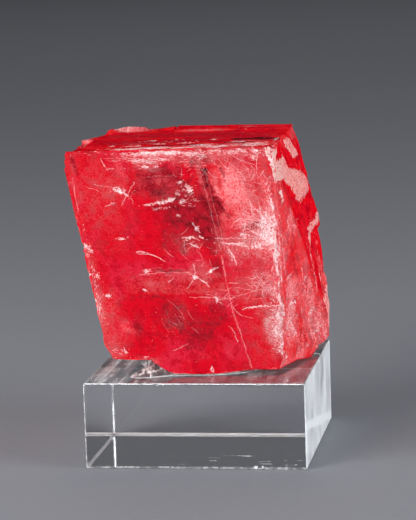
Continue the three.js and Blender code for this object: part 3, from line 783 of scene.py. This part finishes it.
def outline_strength(chart, outline, softness, ragged):
    """1 inside an outline given in mm and 0 outside it, with a ragged edge of that softness."""
    corners = np.array(outline)
    nearest = np.full(len(chart), 1e9)
    inside = np.zeros(len(chart), bool)
    for start, end in zip(corners, np.roll(corners, -1, axis=0)):
        span = end - start
        share = np.clip((chart - start) @ span / (span @ span), 0, 1)
        nearest = np.minimum(nearest, np.linalg.norm(chart - start - share[:, None] * span, axis=1))
        level = (start[1] > chart[:, 1]) != (end[1] > chart[:, 1])
        rise = span[1] if abs(span[1]) > 1e-9 else 1e-9
        inside ^= level & (chart[:, 0] < start[0] + (chart[:, 1] - start[1]) / rise * span[0])
    return smooth(-softness, softness, np.where(inside, nearest, -nearest) + ragged)


def line_strength(chart, corners, half_width):
    """1 on a line through corners, in mm, and 0 beyond its half width."""
    nearest = np.full(len(chart), 1e9)
    for start, end in zip(corners[:-1], corners[1:]):
        start, span = np.array(start), np.array(end) - start
        share = np.clip((chart - start) @ span / (span @ span), 0, 1)
        nearest = np.minimum(nearest, np.linalg.norm(chart - start - share[:, None] * span, axis=1))
    return smooth(half_width * 1.5, half_width * 0.3, nearest)


def in_mm(patches, across, over):
    return [((c[0] * across, c[1] * over), *rest) for c, *rest in patches]


def edge_distance(shares, first, second):
    """Distance in mm from one edge of the crystal. Each side is (way, 0 or 1)."""
    away = [np.abs(shares[:, way] - end) * SIZES[way] for way, end in (first, second)]
    return np.hypot(*away)


def nicked(distance, along, size, seed):
    """How deep small chips bite at a distance from an edge, in mm, along it in mm."""
    place = np.column_stack([along * 0.55, np.full(len(along), seed), np.zeros(len(along))])
    reach = size * np.clip(0.35 + layered(place, seed), 0, None)
    return 0.75 * np.clip(reach - distance, 0, None)


def crystal_marks(grain, fresh, weights):
    """The marks at each point of the crystal. Weights say how much of each point is on which face."""
    on_front, on_right, on_top, hidden = (weights[name] for name in ("front", "right", "top", "hidden"))
    front_chart, right_chart, top_chart = grain[:, [0, 2]], grain[:, [1, 2]], grain[:, [0, 1]]
    # painted face tint: the right, top and hidden faces, made a purer, less clear red for how the light
    # falls on them
    marks = {"fresh": fresh, "painted_face_tint": np.maximum(np.maximum(on_right, on_top), hidden)}
    for name, front, right, top in (
        ("bruise", FRONT_BRUISES, RIGHT_BRUISES, TOP_BRUISES),
        ("web", FRONT_WEBS, RIGHT_WEBS, TOP_WEBS),
        ("layers", FRONT_LAYERS, [], TOP_LAYERS),
        ("haze", FRONT_HAZE, RIGHT_HAZE, TOP_HAZE),
        ("painted_shade", FRONT_PAINTED_SHADE, [], TOP_PAINTED_SHADE),
    ):
        marks[name] = np.maximum.reduce([
            on_front * patch_strength(front_chart, in_mm(front, WIDTH, HEIGHT), 3, *SPREAD[name]),
            on_right * patch_strength(right_chart, in_mm(right, DEPTH, HEIGHT), 5, *SPREAD[name]),
            on_top * patch_strength(top_chart, in_mm(top, WIDTH, DEPTH), 9, *SPREAD[name]),
        ])

    def lay(name, strength):
        marks[name] = np.maximum(marks[name], strength)

    lay("haze", hidden * 0.45 * smooth(0.1, 0.5, layered(grain * 0.09, 41)))
    lay("bruise", hidden * 0.5 * smooth(0.35, 0.6, layered(grain * 0.22, 43)))
    lay("web", hidden * 0.7 * smooth(0.1, 0.5, layered(grain * 0.15, 44)))
    crack = on_front * line_strength(front_chart, np.array(PALE_CRACK) * (WIDTH, HEIGHT), 0.22)
    lay("haze", crack * (0.5 + 0.5 * layered(grain * 0.6, 45)))
    ragged = 0.6 * layered(grain * 0.9, 49, 4) + 0.35 * layered(grain * 2.2, 50)

    def outlined(outlines, softness, wobble, chart=front_chart, size=(WIDTH, HEIGHT), on_chart=on_front):
        inside = [
            outline_strength(chart, np.array(outline) * size, softness, wobble * ragged)
            for outline in outlines
        ]
        return on_chart * np.maximum.reduce(inside)

    marks["crust"] = np.maximum(
        outlined(CRUST, 0.8, 1.0, right_chart, (DEPTH, HEIGHT), on_right),
        outlined([FRONT_CRUST], 0.4, 0.5),
    )
    # the sheet within: its reflection painted as pale haze, with painted shade, both starting a few mm in
    # from the left
    band = outlined([BAND], 0.3, 0.3)
    lay("haze", 0.22 * band * smooth(4, 14, front_chart[:, 0]))
    lay("painted_shade", 0.22 * band * smooth(6, 12, front_chart[:, 0]))
    # a sheet's edge: pale haze, and painted shade
    plank = outlined([PLANK], 0.25, 0.3)
    lay("haze", 0.36 * plank)
    lay("painted_shade", 0.42 * plank)
    glow = on_front * patch_strength(front_chart, in_mm(FRONT_GLOW, WIDTH, HEIGHT), 7, *SPREAD["painted_shade"])
    for name, share in (("haze", 0.85), ("painted_shade", 0.85), ("layers", 0.85), ("web", 0.7)):
        marks[name] = marks[name] * (1 - share * glow)
    # painted shade in the columns
    lay("painted_shade", 0.95 * outlined(COLUMNS, 0.3, 0.7))
    lay("haze", fresh * (0.18 + 0.25 * layered(grain * 0.3, 47)))
    lay("web", fresh * smooth(-0.1, 0.5, layered(grain * 0.2, 48)))
    return marks


CREASE = at((1, 0, 1)), at((0.859, 0, 0.015))  # where the front meets the fracture on its right
# the crystal's edges: its two sides as (way, 0 or 1), the way it runs, how deep its chips are in mm, and
# how white they are
EDGE_CHIPS = [
    ((1, 0), (2, 1), 0, 0.6, 0.45), ((1, 0), (0, 1), 2, 0.8, 0.8), ((0, 0), (1, 0), 2, 0.55, 0.12),
    ((0, 0), (2, 1), 1, 0.8, 0.5), ((0, 1), (2, 1), 1, 0.8, 0.5), ((1, 1), (2, 1), 0, 0.4, 0.3),
    ((0, 0), (1, 1), 2, 0.8, 0.5), ((0, 1), (1, 1), 2, 0.8, 0.5), ((1, 0), (2, 0), 0, 0.5, 0.4),
]
# notches in the front left edge: share of the height, size in mm
LEFT_NOTCHES = [(0.575, 1.1), (0.54, 0.8), (0.45, 0.7), (0.33, 0.6), (0.29, 0.6)]


def chips_along_edges(points, shares, grain, marks):
    """How deep the chips along the crystal's edges bite, in mm. Whitens the marks there."""
    sink = np.zeros(len(points))
    ways = [
        (edge_distance(shares, first, second), grain[:, way], size, white, 0.7)
        for first, second, way, size, white in EDGE_CHIPS
    ]
    crease_from, crease_to = CREASE
    crease = unit(crease_to - crease_from)
    away = points - crease_from
    off_crease = np.linalg.norm(away - (away @ crease)[:, None] * crease, axis=1) / MM
    ways.append((off_crease, grain[:, 2], 1.2, 0.72, 1.9))
    patchy = layered(grain * 0.8, 87)
    for number, (distance, along, size, white, width) in enumerate(ways):
        bite = nicked(distance, along, size, 60 + number)
        sink += bite
        breaks = layered(np.column_stack([along * 0.4, 0 * along, 0 * along]), 90 + number)
        whitened = smooth(width, 0.1, distance - bite + 0.7 * width * patchy)
        lighter = white * smooth(-0.25, 0.35, breaks) * whitened
        marks["bruise"] = np.maximum(marks["bruise"], lighter)
    ledge = smooth(0.02, 0.12, shares[:, 1]) * smooth(0.52, 0.49, shares[:, 1])
    sink += 1.1 * ledge * smooth(2.6, 0.4, edge_distance(shares, (0, 0), (2, 1)))
    for height, size in LEFT_NOTCHES:
        notch = np.linalg.norm((shares - (0, 0, height)) * SIZES * (1, 0.6, 1), axis=1)
        sink += 0.6 * np.clip(size - notch, 0, None)
        marks["bruise"] = np.maximum(marks["bruise"], 0.7 * smooth(size * 1.3, size * 0.3, notch))
    return sink


def crystal_surface(solid):
    """The crystal's fine surface: its lattice points, quads and marks, by name."""
    lines = [np.linspace(0, 1, cells + 1) for cells in CELLS]
    lattice, quads = shell_lattice(lines)
    left = LEFT_FACE_FOOT + (LEFT_FACE_TOP - LEFT_FACE_FOOT) * lattice[:, 2]
    aims = lattice.copy()
    aims[:, 0] = left + lattice[:, 0] * (1 - left)
    tree = tree_of(solid)
    points, normals = [], []
    for aim in at(aims):
        way = unit(aim - MIDDLE)
        hit, normal = tree.ray_cast(Vector(MIDDLE), Vector(way))[:2]
        points.append(hit)
        normals.append(normal)
    points, normals = np.array(points), np.array(normals)
    shares = (points - LOW_CORNER) @ np.linalg.inv(EDGES)
    u, v, h = shares.T
    grain = shares * SIZES

    facing = {"front": normals @ FRONT_OUT, "right": normals @ RIGHT_OUT, "top": normals @ TOP_OUT}
    fresh = smooth(0.995, 0.97, np.max(np.abs(np.array(list(facing.values()))), axis=0))
    on_left = smooth(0.6, 0.9, -facing["right"])
    on_back = smooth(0.6, 0.9, -facing["front"])
    on_foot = smooth(0.6, 0.9, -facing["top"])
    weights = {
        "front": smooth(0.10, 0.02, v) * smooth(0.3, 0.7, facing["front"]),
        "top": smooth(0.93, 0.98, h) * smooth(0.3, 0.7, facing["top"]),
        "right": smooth(0.80, 0.86, u) * smooth(0.35, 0.6, facing["right"]),
        "hidden": np.maximum.reduce([on_left, on_back, on_foot]),
    }
    on_front, on_top, on_right = weights["front"], weights["top"], weights["right"]
    marks = crystal_marks(grain, fresh, weights)

    def terraces(scale, seed, levels, octaves=3):
        """Broken cleavage layers, from 0 to 1 deep."""
        return steps(0.5 + 0.5 * layered(grain * scale, seed, octaves), levels)

    # how far the surface lies below the flat faces, in mm
    sink = on_top * terraces((0.22, 0.6, 0.2), 13, 5, 4) * smooth(0.42, 0.05, v) * 0.32
    near_top = smooth(0.15, 0.3, u) * smooth(0.88, 0.97, h)
    sink += on_front * near_top * terraces((0.09, 0.3, 0.9), 17, 5) * 0.35
    bare = on_right * (1 - marks["crust"])
    sink += bare * (0.16 + terraces((0.22, 0.3, 0.09), 19, 4) * smooth(0.35, 0.8, v) * 0.5)
    sink += on_left * terraces((0.3, 0.25, 0.06), 23, 4) * 0.55
    sink += on_back * terraces((0.1, 0.3, 0.16), 29, 4) * 0.55
    sink += 0.05 * (1 + layered(grain * 0.12, 31)) * (1 - fresh)
    rough = np.abs(layered(grain * 0.42, 37, 4))
    sink += fresh * (0.75 * rough + 0.16 * (1 + layered(grain * 1.3, 39)))
    sink += chips_along_edges(points, shares, grain, marks)

    # where it bulges past its flat faces
    ripple = 1 + 0.25 * layered(grain * 0.5, 53)
    for middle, radius, rise in SWELLS:
        distance = np.linalg.norm((shares - middle) * SIZES, axis=1)
        sink -= rise * smooth(radius, 0, distance) * ripple
    inward = (MIDDLE - points) / np.linalg.norm(MIDDLE - points, axis=1)[:, None]
    points = points + inward * (sink * MM)[:, None]
    near = smooth(9.0, 0.5, edge_distance(shares, (0, 1), (1, 1)))
    points += np.outer(near * np.interp(h, *zip(*BACK_RIGHT_BULGE)) * ripple * MM, RIGHT_OUT)
    near = smooth(4.0, 1.0, edge_distance(shares, (1, 1), (2, 1)))
    points += np.outer(near * np.interp(u, *zip(*BACK_TOP_BULGE)) * MM, TOP_OUT)
    for corners in CUTS:
        first, second, third = at(corners)
        facing_out = unit(np.cross(second - first, third - first))
        facing_out *= -np.sign((MIDDLE - first) @ facing_out)
        beyond = np.clip((points - first) @ facing_out, 0, None)
        points = points + inward * (beyond / np.maximum(-inward @ facing_out, 0.2))[:, None]
    return points, quads, marks, grain


def build_crystal(solid):
    points, quads, marks, grain = crystal_surface(solid)
    made = mesh_object("crystal_body", points, quads, crystal_finish())
    made.data.set_sharp_from_angle(angle=math.radians(32))
    for name, values in marks.items():
        layer = made.data.attributes.new(name, "FLOAT", "POINT")
        layer.data.foreach_set("value", values.astype(np.float32))
    layer = made.data.attributes.new("grain", "FLOAT_VECTOR", "POINT")
    layer.data.foreach_set("vector", grain.astype(np.float32).ravel())
    return made


# ---- scratches and flakes ----

# least and most half length, and least and most half width, in mm
SLIVER_SIZES = (0.12, 0.5), (0.015, 0.05)
HAIR_SIZES = (0.5, 1.6), (0.012, 0.028)
SCRATCH_STEP = 0.16  # mm from one sliver of a scratch to the next
SCRATCH_WAVES = (1.9, 4.3, 9.0)  # radians a mm, for the wobble of a scratch


class Slivers:
    """Many thin closed slivers of crushed crystal, gathered into one mesh."""

    def __init__(self, tree):
        self.tree, self.points, self.faces = tree, [], []

    def surface(self, shares):
        aim = at(shares)
        hit, normal = self.tree.ray_cast(Vector(MIDDLE), Vector(unit(aim - MIDDLE)))[:2]
        return (None, None) if hit is None else (np.array(hit), np.array(normal))

    def ribbon(self, line, half_width, lift=0.03, sink=0.05):
        """A sliver along a line of shares: pointed at both ends, a low ridge above and a keel below."""
        spots = [self.surface(shares) for shares in line]
        if any(spot is None for spot, _ in spots) or len(spots) < 3:
            return
        centres = np.array([spot for spot, _ in spots])
        normals = np.array([normal for _, normal in spots])
        if np.min(normals @ normals[0]) < 0.5:
            return
        start = len(self.points)
        last = len(centres) - 1
        self.points.append(centres[0])
        for i in range(1, last):
            along = unit(centres[i + 1] - centres[i - 1] + 1e-9)
            side = unit(np.cross(along, normals[i]))
            swell = math.sin(math.pi * i / last) ** 0.5 * random.uniform(0.55, 1.0)
            half = side * half_width * swell * MM
            up = normals[i] * lift * swell * MM
            down = -normals[i] * sink * swell * MM
            self.points.extend(centres[i] + way for way in (-half, up, half, down))
        self.points.append(centres[last])
        end = len(self.points) - 1
        for k in range(4):
            following = (k + 1) % 4
            self.faces.append((start, start + 1 + following, start + 1 + k))
            for i in range(last - 2):
                a, b = start + 1 + 4 * i, start + 5 + 4 * i
                self.faces.append((a + k, a + following, b + following, b + k))
            tail = start + 1 + 4 * (last - 2)
            self.faces.append((tail + k, tail + following, end))

    def sliver(self, face, middle, tilt, half_length, half_width):
        """One short bent sliver on a face, with its middle in shares and its tilt in degrees."""
        turn = math.radians(tilt)
        half = half_length * np.array([math.cos(turn), math.sin(turn)])
        bend = half_length * random.uniform(-0.3, 0.3) * np.array([-math.sin(turn), math.cos(turn)])
        bent = [half * t + bend * (1 - t * t) for t in np.linspace(-1, 1, 5)]
        line = [middle + way / FACE_SCALE[face] for way in bent]
        if np.min(line) > 0.002 and np.max(line) < 0.998:
            self.ribbon([on_face(face, spot) for spot in line], half_width)

    def scratch(self, corners, half_width, face):
        """A scratch through corners on a face: a chain of slivers that lie a little askew."""
        corners = np.array(corners, float)
        scale = FACE_SCALE[face]
        lengths = np.linalg.norm(np.diff(corners * scale, axis=0), axis=1)
        reach = np.concatenate([[0], np.cumsum(lengths)])
        swell = random.uniform(0.6, 1.0)
        phases = [random.uniform(0, 2 * math.pi) for _ in range(3)]
        for place in np.arange(0, reach[-1], SCRATCH_STEP):
            spot = np.array([np.interp(place, reach, corners[:, k]) for k in range(2)])
            ahead = np.array([np.interp(place + 0.1, reach, corners[:, k]) for k in range(2)])
            along = (ahead - spot) * scale
            tilt = math.degrees(math.atan2(along[1], along[0]))
            swing = sum(math.sin(place * rate + phase) for rate, phase in zip(SCRATCH_WAVES, phases))
            turn = math.radians(tilt)
            across = np.array([-math.sin(turn), math.cos(turn)]) * (0.06 * swing) / scale
            fullness = math.sin(math.pi * min(1, (place + 0.15) / (reach[-1] + 0.3))) ** 0.6
            fullness *= 0.55 + 0.45 * math.sin(place * 2.6 + phases[1])
            for _ in range(round(0.6 + 11 * half_width * fullness * swell)):
                shift = np.array([random.gauss(0, 0.5), random.gauss(0, 0.5)])
                middle = spot + across + shift * half_width * fullness / scale
                lie, half_length = tilt + random.gauss(0, 26), random.uniform(0.10, 0.28)
                width = random.uniform(0.3, 0.7) * min(half_width, 0.08)
                self.sliver(face, middle, lie, half_length, width)

    def spray(self, face, centre, halves, tilt, scatter, count, sizes):
        """Slivers scattered round a centre."""
        for _ in range(count):
            offset = np.array([random.gauss(0, 0.5) * half for half in halves])
            middle, lie = np.array(centre) + offset / FACE_SCALE[face], tilt + random.gauss(0, scatter)
            half_length, half_width = (random.uniform(*limits) for limits in sizes)
            self.sliver(face, middle, lie, half_length, half_width)

    def patch(self, face, centre, half_length, half_height, tilt, strength):
        """A patch of flaked crystal: slivers laid close along its length."""
        area = half_length * half_height * strength
        lie = tilt if half_length > half_height else tilt + 90
        cos, sin = math.cos(math.radians(tilt)), math.sin(math.radians(tilt))
        for _ in range(round(min(60, 8 + 26 * area))):
            a, b = random.gauss(0, 0.5) * half_length, random.gauss(0, 0.5) * half_height
            offset = np.array([a * cos - b * sin, a * sin + b * cos])
            middle, way = np.array(centre) + offset / FACE_SCALE[face], lie + random.gauss(0, 36)
            self.sliver(face, middle, way, random.uniform(0.08, 0.34), random.uniform(0.02, 0.06))

    def flake(self, shares, size, plane):
        """A small lens inside the crystal, near a cleavage plane."""
        centre = at(shares)
        normal = {"front": FRONT_OUT, "right": RIGHT_OUT, "top": TOP_OUT}[plane]
        normal = unit(normal + np.array([random.gauss(0, 0.22) for _ in range(3)]))
        first = unit(np.cross(normal, (0.3, 0.5, 0.81)))
        second = np.cross(normal, first)
        start = len(self.points)
        sides = 7
        spin = random.uniform(0, 2 * math.pi)
        stretch = random.uniform(0.35, 1.0)
        for k in range(sides):
            angle = spin + 2 * math.pi * k / sides
            reach = size * MM * random.uniform(0.5, 1.0)
            way = first * math.cos(angle) + second * stretch * math.sin(angle)
            self.points.append(centre + reach * way)
        for side in (1, -1):
            self.points.append(centre + side * normal * 0.03 * size * MM)
        for k in range(sides):
            following = (k + 1) % sides
            self.faces.append((start + k, start + following, start + sides))
            self.faces.append((start + following, start + k, start + sides + 1))


FACE_SCALE = {  # mm
    "front": np.array([WIDTH, HEIGHT]), "back": np.array([WIDTH, HEIGHT]),
    "right": np.array([DEPTH, HEIGHT]), "left": np.array([DEPTH, HEIGHT]),
    "top": np.array([WIDTH, DEPTH]),
}


def on_face(face, spot):
    """A face's own two shares as the crystal's three."""
    a, b = spot
    return {
        "front": (a, 0.0, b), "back": (a, 1.0, b), "right": (1.0, a, b), "left": (0.0, a, b),
        "top": (a, b, 1.0),
    }[face]


def build_bruises(crystal):
    slivers = Slivers(tree_of(crystal))
    for half_width, corners in FRONT_SCRATCHES:
        slivers.scratch(corners, half_width, "front")
    slivers.scratch(PALE_CRACK, 0.03, "front")
    for face, patches in (("front", FRONT_BRUISES), ("right", RIGHT_BRUISES), ("top", TOP_BRUISES)):
        for centre, half_length, half_height, tilt, strength in patches:
            slivers.patch(face, centre, half_length, half_height, tilt, strength)
    for face, sprays, sizes in (
        ("front", FRONT_SPRAYS, SLIVER_SIZES), ("right", RIGHT_SPRAYS, SLIVER_SIZES),
        ("top", TOP_SPRAYS, SLIVER_SIZES),
        ("front", FRONT_HAIRS, HAIR_SIZES), ("right", RIGHT_HAIRS, HAIR_SIZES),
    ):
        for centre, half_length, half_height, tilt, scatter, count in sprays:
            slivers.spray(face, centre, (half_length, half_height), tilt, scatter, count, sizes)
    for face, tilt in (("left", 80), ("back", 10)):
        for _ in range(9):
            centre = (random.uniform(0.1, 0.9), random.uniform(0.1, 0.9))
            halves = (random.uniform(2, 5), random.uniform(2, 6))
            slivers.spray(face, centre, halves, tilt, 16, 36, SLIVER_SIZES)
    return mesh_object("surface_bruises", slivers.points, slivers.faces, bruise_finish(), False)


def build_veils(crystal):
    slivers = Slivers(tree_of(crystal))
    for centre, halves, count, size, plane in INNER_CLOUDS:
        for _ in range(count):
            offset = np.array([random.gauss(0, 0.5) for _ in range(3)]) * halves / SIZES
            spot = np.clip(np.array(centre) + offset, 0.035, 0.94)
            hit, _ = slivers.surface(spot)
            deep = np.linalg.norm(np.array(at(spot)) - MIDDLE) < np.linalg.norm(hit - MIDDLE) - 1.4 * MM
            if deep and (spot[2] > 0.1 or spot[0] > 0.4):
                slivers.flake(spot, size * random.uniform(0.4, 1.5), plane)
    return mesh_object("fracture_veils", slivers.points, slivers.faces, veil_finish(), False)


# ---- the block and the gel ----

def edge_lines(low, high, radius, spacing):
    """Lattice lines across a side with rounded edges: close together in the edges, even between them."""
    curve = [radius * (1 - math.cos(math.pi / 2 * k / 4)) for k in range(4)]
    inner = np.linspace(low + radius, high - radius, max(2, int((high - low) / spacing)))
    return np.concatenate([[low + c for c in curve], inner, [high - c for c in reversed(curve)]])


def build_block():
    """The block with softly rounded edges that carry small chips."""
    radius = BLOCK_EDGE_RADIUS
    low, high = (np.array(corner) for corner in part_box("display_block"))
    lines = [edge_lines(low[k], high[k], radius, 0.45 * MM) for k in range(3)]
    points, quads = shell_lattice(lines)
    core = np.clip(points, low + radius, high - radius)
    away = points - core
    reach = np.linalg.norm(away, axis=1)
    on_edge = (np.abs(away) > 1e-7).sum(axis=1) >= 2
    chip = smooth(0.25, 0.7, layered(points * 1400, 71)) * smooth(-0.2, 0.5, waves(points * 150, 73))
    bite = np.where(on_edge, 0.22 * MM * chip + 0.012 * MM * waves(points * 500, 75), 0)
    points = core + away / np.maximum(reach, 1e-9)[:, None] * (radius - bite)[:, None]
    return mesh_object("acrylic_block", points, quads, acrylic_finish())


GEL_CENTRE = np.array([0.0, -3.5]) * MM
GEL_HALF = np.array([16.0, 12.6]) * MM
GEL_THICKNESS = 1.9 * MM
GEL_TONGUE_ANGLE, GEL_TONGUE_SPREAD, GEL_TONGUE_REACH = 233, 13, 0.5  # the tongue squeezed out in front
GEL_SINK = 0.02 * MM  # the gel wets the block, so no air is left between their faces
GEL_LOBE, GEL_LOBE_RADIUS, GEL_LOBE_RISE = np.array([-10.5, -6.0]) * MM, 6.5 * MM, 1.5 * MM


def build_gel(crystal):
    """The gel pad: a low dome with a lobe at the left, pressed flat under the crystal."""
    rings, sectors = 48, 220
    tree = tree_of(crystal)
    floor = BLOCK_TOP - GEL_SINK
    points = []
    for ring in range(1, rings + 1):
        share = math.sin(ring / rings * math.pi / 2)
        for sector in range(sectors):
            angle = sector / sectors * 2 * math.pi
            off_tongue = (math.degrees(angle) - GEL_TONGUE_ANGLE) / GEL_TONGUE_SPREAD
            wave = 1 + 0.05 * math.sin(3 * angle + 0.6) + 0.03 * math.sin(5 * angle)
            wave += GEL_TONGUE_REACH * math.exp(-off_tongue * off_tongue)
            spot = GEL_CENTRE + GEL_HALF * wave * share * (math.cos(angle), math.sin(angle))
            points.append((*spot, share))
    points.append((*GEL_CENTRE, 0.0))
    points = np.array(points)
    away = np.linalg.norm(points[:, :2] - GEL_LOBE, axis=1) / GEL_LOBE_RADIUS
    lobe = np.exp(-away * away)
    rise = np.sqrt(np.clip(1 - points[:, 2] ** 2, 0, 1)) * (GEL_THICKNESS + GEL_LOBE_RISE * lobe)
    flat = np.column_stack([points[:, :2] * 420, np.zeros(len(points))])
    rise *= 1 + 0.20 * lobe * waves(flat, 81) + 0.05 * waves(flat * 0.6, 83)
    out = smooth(-13.5 * MM, -17 * MM, points[:, 1]) * smooth(-4 * MM, -8 * MM, points[:, 0])
    creased = np.column_stack([points[:, 0] * 1100, points[:, 1] * 320, np.zeros(len(points))])
    folds = 0.60 + 0.55 * layered(creased, 85)
    rise *= 1 - out * (1 - folds)
    heights = floor + rise
    for i, (x, y, _) in enumerate(points):
        hit = tree.ray_cast(Vector((x, y, floor)), Vector((0, 0, 1)))[0]
        if hit is not None:
            heights[i] = max(floor + 0.05 * MM, min(heights[i], hit.z - 0.02 * MM))
    heights[(rings - 1) * sectors:rings * sectors] = floor + 0.02 * MM
    top = np.column_stack([points[:, :2], heights])
    bottom = np.column_stack([points[:, :2], np.full(len(points), floor)])
    count = len(points)
    faces = []
    for sector in range(sectors):
        following = (sector + 1) % sectors
        faces.append((count - 1, sector, following))
        faces.append((2 * count - 1, count + following, count + sector))
        for ring in range(rings - 1):
            a, b = ring * sectors + sector, ring * sectors + following
            faces.append((a, a + sectors, b + sectors, b))
            faces.append((count + b, count + b + sectors, count + a + sectors, count + a))
        rim, rim_next = (rings - 1) * sectors + sector, (rings - 1) * sectors + following
        faces.append((rim, count + rim, count + rim_next, rim_next))
    return mesh_object("gel_cushion", np.vstack([top, bottom]), faces, gel_finish())


# ---- camera, floor and light ----

CAMERA_PLACE = (0.08976, -0.54238, 0.13347)  # m
CAMERA_LENS, CAMERA_SENSOR = 167.65, 36  # mm
YAW, PITCH, ROLL = 0.1637, 0.1629, 0.0328  # radians


def make_camera():
    """The view: a long lens, turned a little to the left, looking down at about nine degrees."""
    level = np.array([-math.sin(YAW), math.cos(YAW), 0.0])
    forward = level * math.cos(PITCH) + np.array([0.0, 0.0, -math.sin(PITCH)])
    right = np.array([math.cos(YAW), math.sin(YAW), 0.0])
    down = np.cross(forward, right)
    tilted_right = math.cos(ROLL) * right + math.sin(ROLL) * down
    tilted_down = -math.sin(ROLL) * right + math.cos(ROLL) * down
    turned = Matrix([[tilted_right[k], -tilted_down[k], -forward[k]] for k in range(3)]).to_4x4()
    data = bpy.data.cameras.new("camera")
    data.lens, data.sensor_width, data.sensor_fit = CAMERA_LENS, CAMERA_SENSOR, "AUTO"
    data.clip_start, data.clip_end = 0.05, 10
    made = bpy.data.objects.new("camera", data)
    made.matrix_world = Matrix.Translation(CAMERA_PLACE) @ turned
    bpy.context.scene.collection.objects.link(made)
    bpy.context.scene.camera = made


def make_floor():
    """A wide round table top, with a fine even grain."""
    f = Finish("pale_table", IOR=1.45, Roughness=0.75)
    grain = f.noise(f.place, 600.0, 3.0)
    darker, lighter = (0.238, 0.244, 0.266, 1), (0.246, 0.252, 0.274, 1)
    f.shade(Base_Color=f.mix(f.rise(grain, 0.3, 0.7), darker, lighter))
    rings, sectors, radius, level = 12, 96, 3.0, -0.05 * MM
    points = [(0, 0, level)]
    faces = []
    for ring in range(1, rings + 1):
        for sector in range(sectors):
            angle = sector / sectors * 2 * math.pi
            reach = radius * (ring / rings) ** 2
            points.append((reach * math.cos(angle), reach * math.sin(angle), level))
    for sector in range(sectors):
        following = (sector + 1) % sectors
        faces.append((0, 1 + sector, 1 + following))
        for ring in range(rings - 1):
            a, b = 1 + ring * sectors + sector, 1 + ring * sectors + following
            faces.append((a, a + sectors, b + sectors, b))
    mesh_object("table", points, faces, f.material)


def soft_light(name, azimuth, elevation, distance, size, power, colour=(1, 1, 1)):
    """A soft box that faces the crystal. Azimuth 0 is in front of the block and 90 to its right."""
    data = bpy.data.lights.new(name, "AREA")
    data.shape, data.size, data.size_y = "RECTANGLE", size[0], size[1]
    data.energy, data.color = power, colour
    a, e = math.radians(azimuth), math.radians(elevation)
    way = Vector((math.sin(a) * math.cos(e), -math.cos(a) * math.cos(e), math.sin(e)))
    made = bpy.data.objects.new(name, data)
    made.location = Vector((0, 0, 0.04)) + way * distance
    made.rotation_mode = "QUATERNION"
    made.rotation_quaternion = way.to_track_quat("Z", "Y")
    made.visible_camera = False
    bpy.context.scene.collection.objects.link(made)


def make_light():
    soft_light("key", -38, 19, 0.7, (0.47, 0.35), 5.9, (1.0, 0.98, 0.97))
    soft_light("left", -75, 12, 0.75, (0.5, 0.3), 2.3, (0.92, 0.96, 1.0))
    soft_light("right", 70, 15, 0.8, (0.5, 0.35), 6.0, (0.90, 0.95, 1.0))
    soft_light("backdrop", 180, 42, 2.2, (1.6, 0.8), 4.8)
    world = bpy.data.worlds.new("studio")
    world.use_nodes = True
    world.node_tree.nodes["Background"].inputs["Color"].default_value = (0.104, 0.106, 0.116, 1)
    bpy.context.scene.world = world
    bpy.context.scene.view_settings.view_transform = "Standard"


# ---- everything in its place ----

make_camera()
make_floor()
make_light()

crystal = build_crystal(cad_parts["crystal"])
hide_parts("crystal")
bruises = build_bruises(crystal)
veils = build_veils(crystal)

gel = build_gel(crystal)
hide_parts("gel_pad")

block = build_block()
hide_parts("display_block")

for piece in (crystal, bruises, veils, gel, block):
    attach(piece, "root")
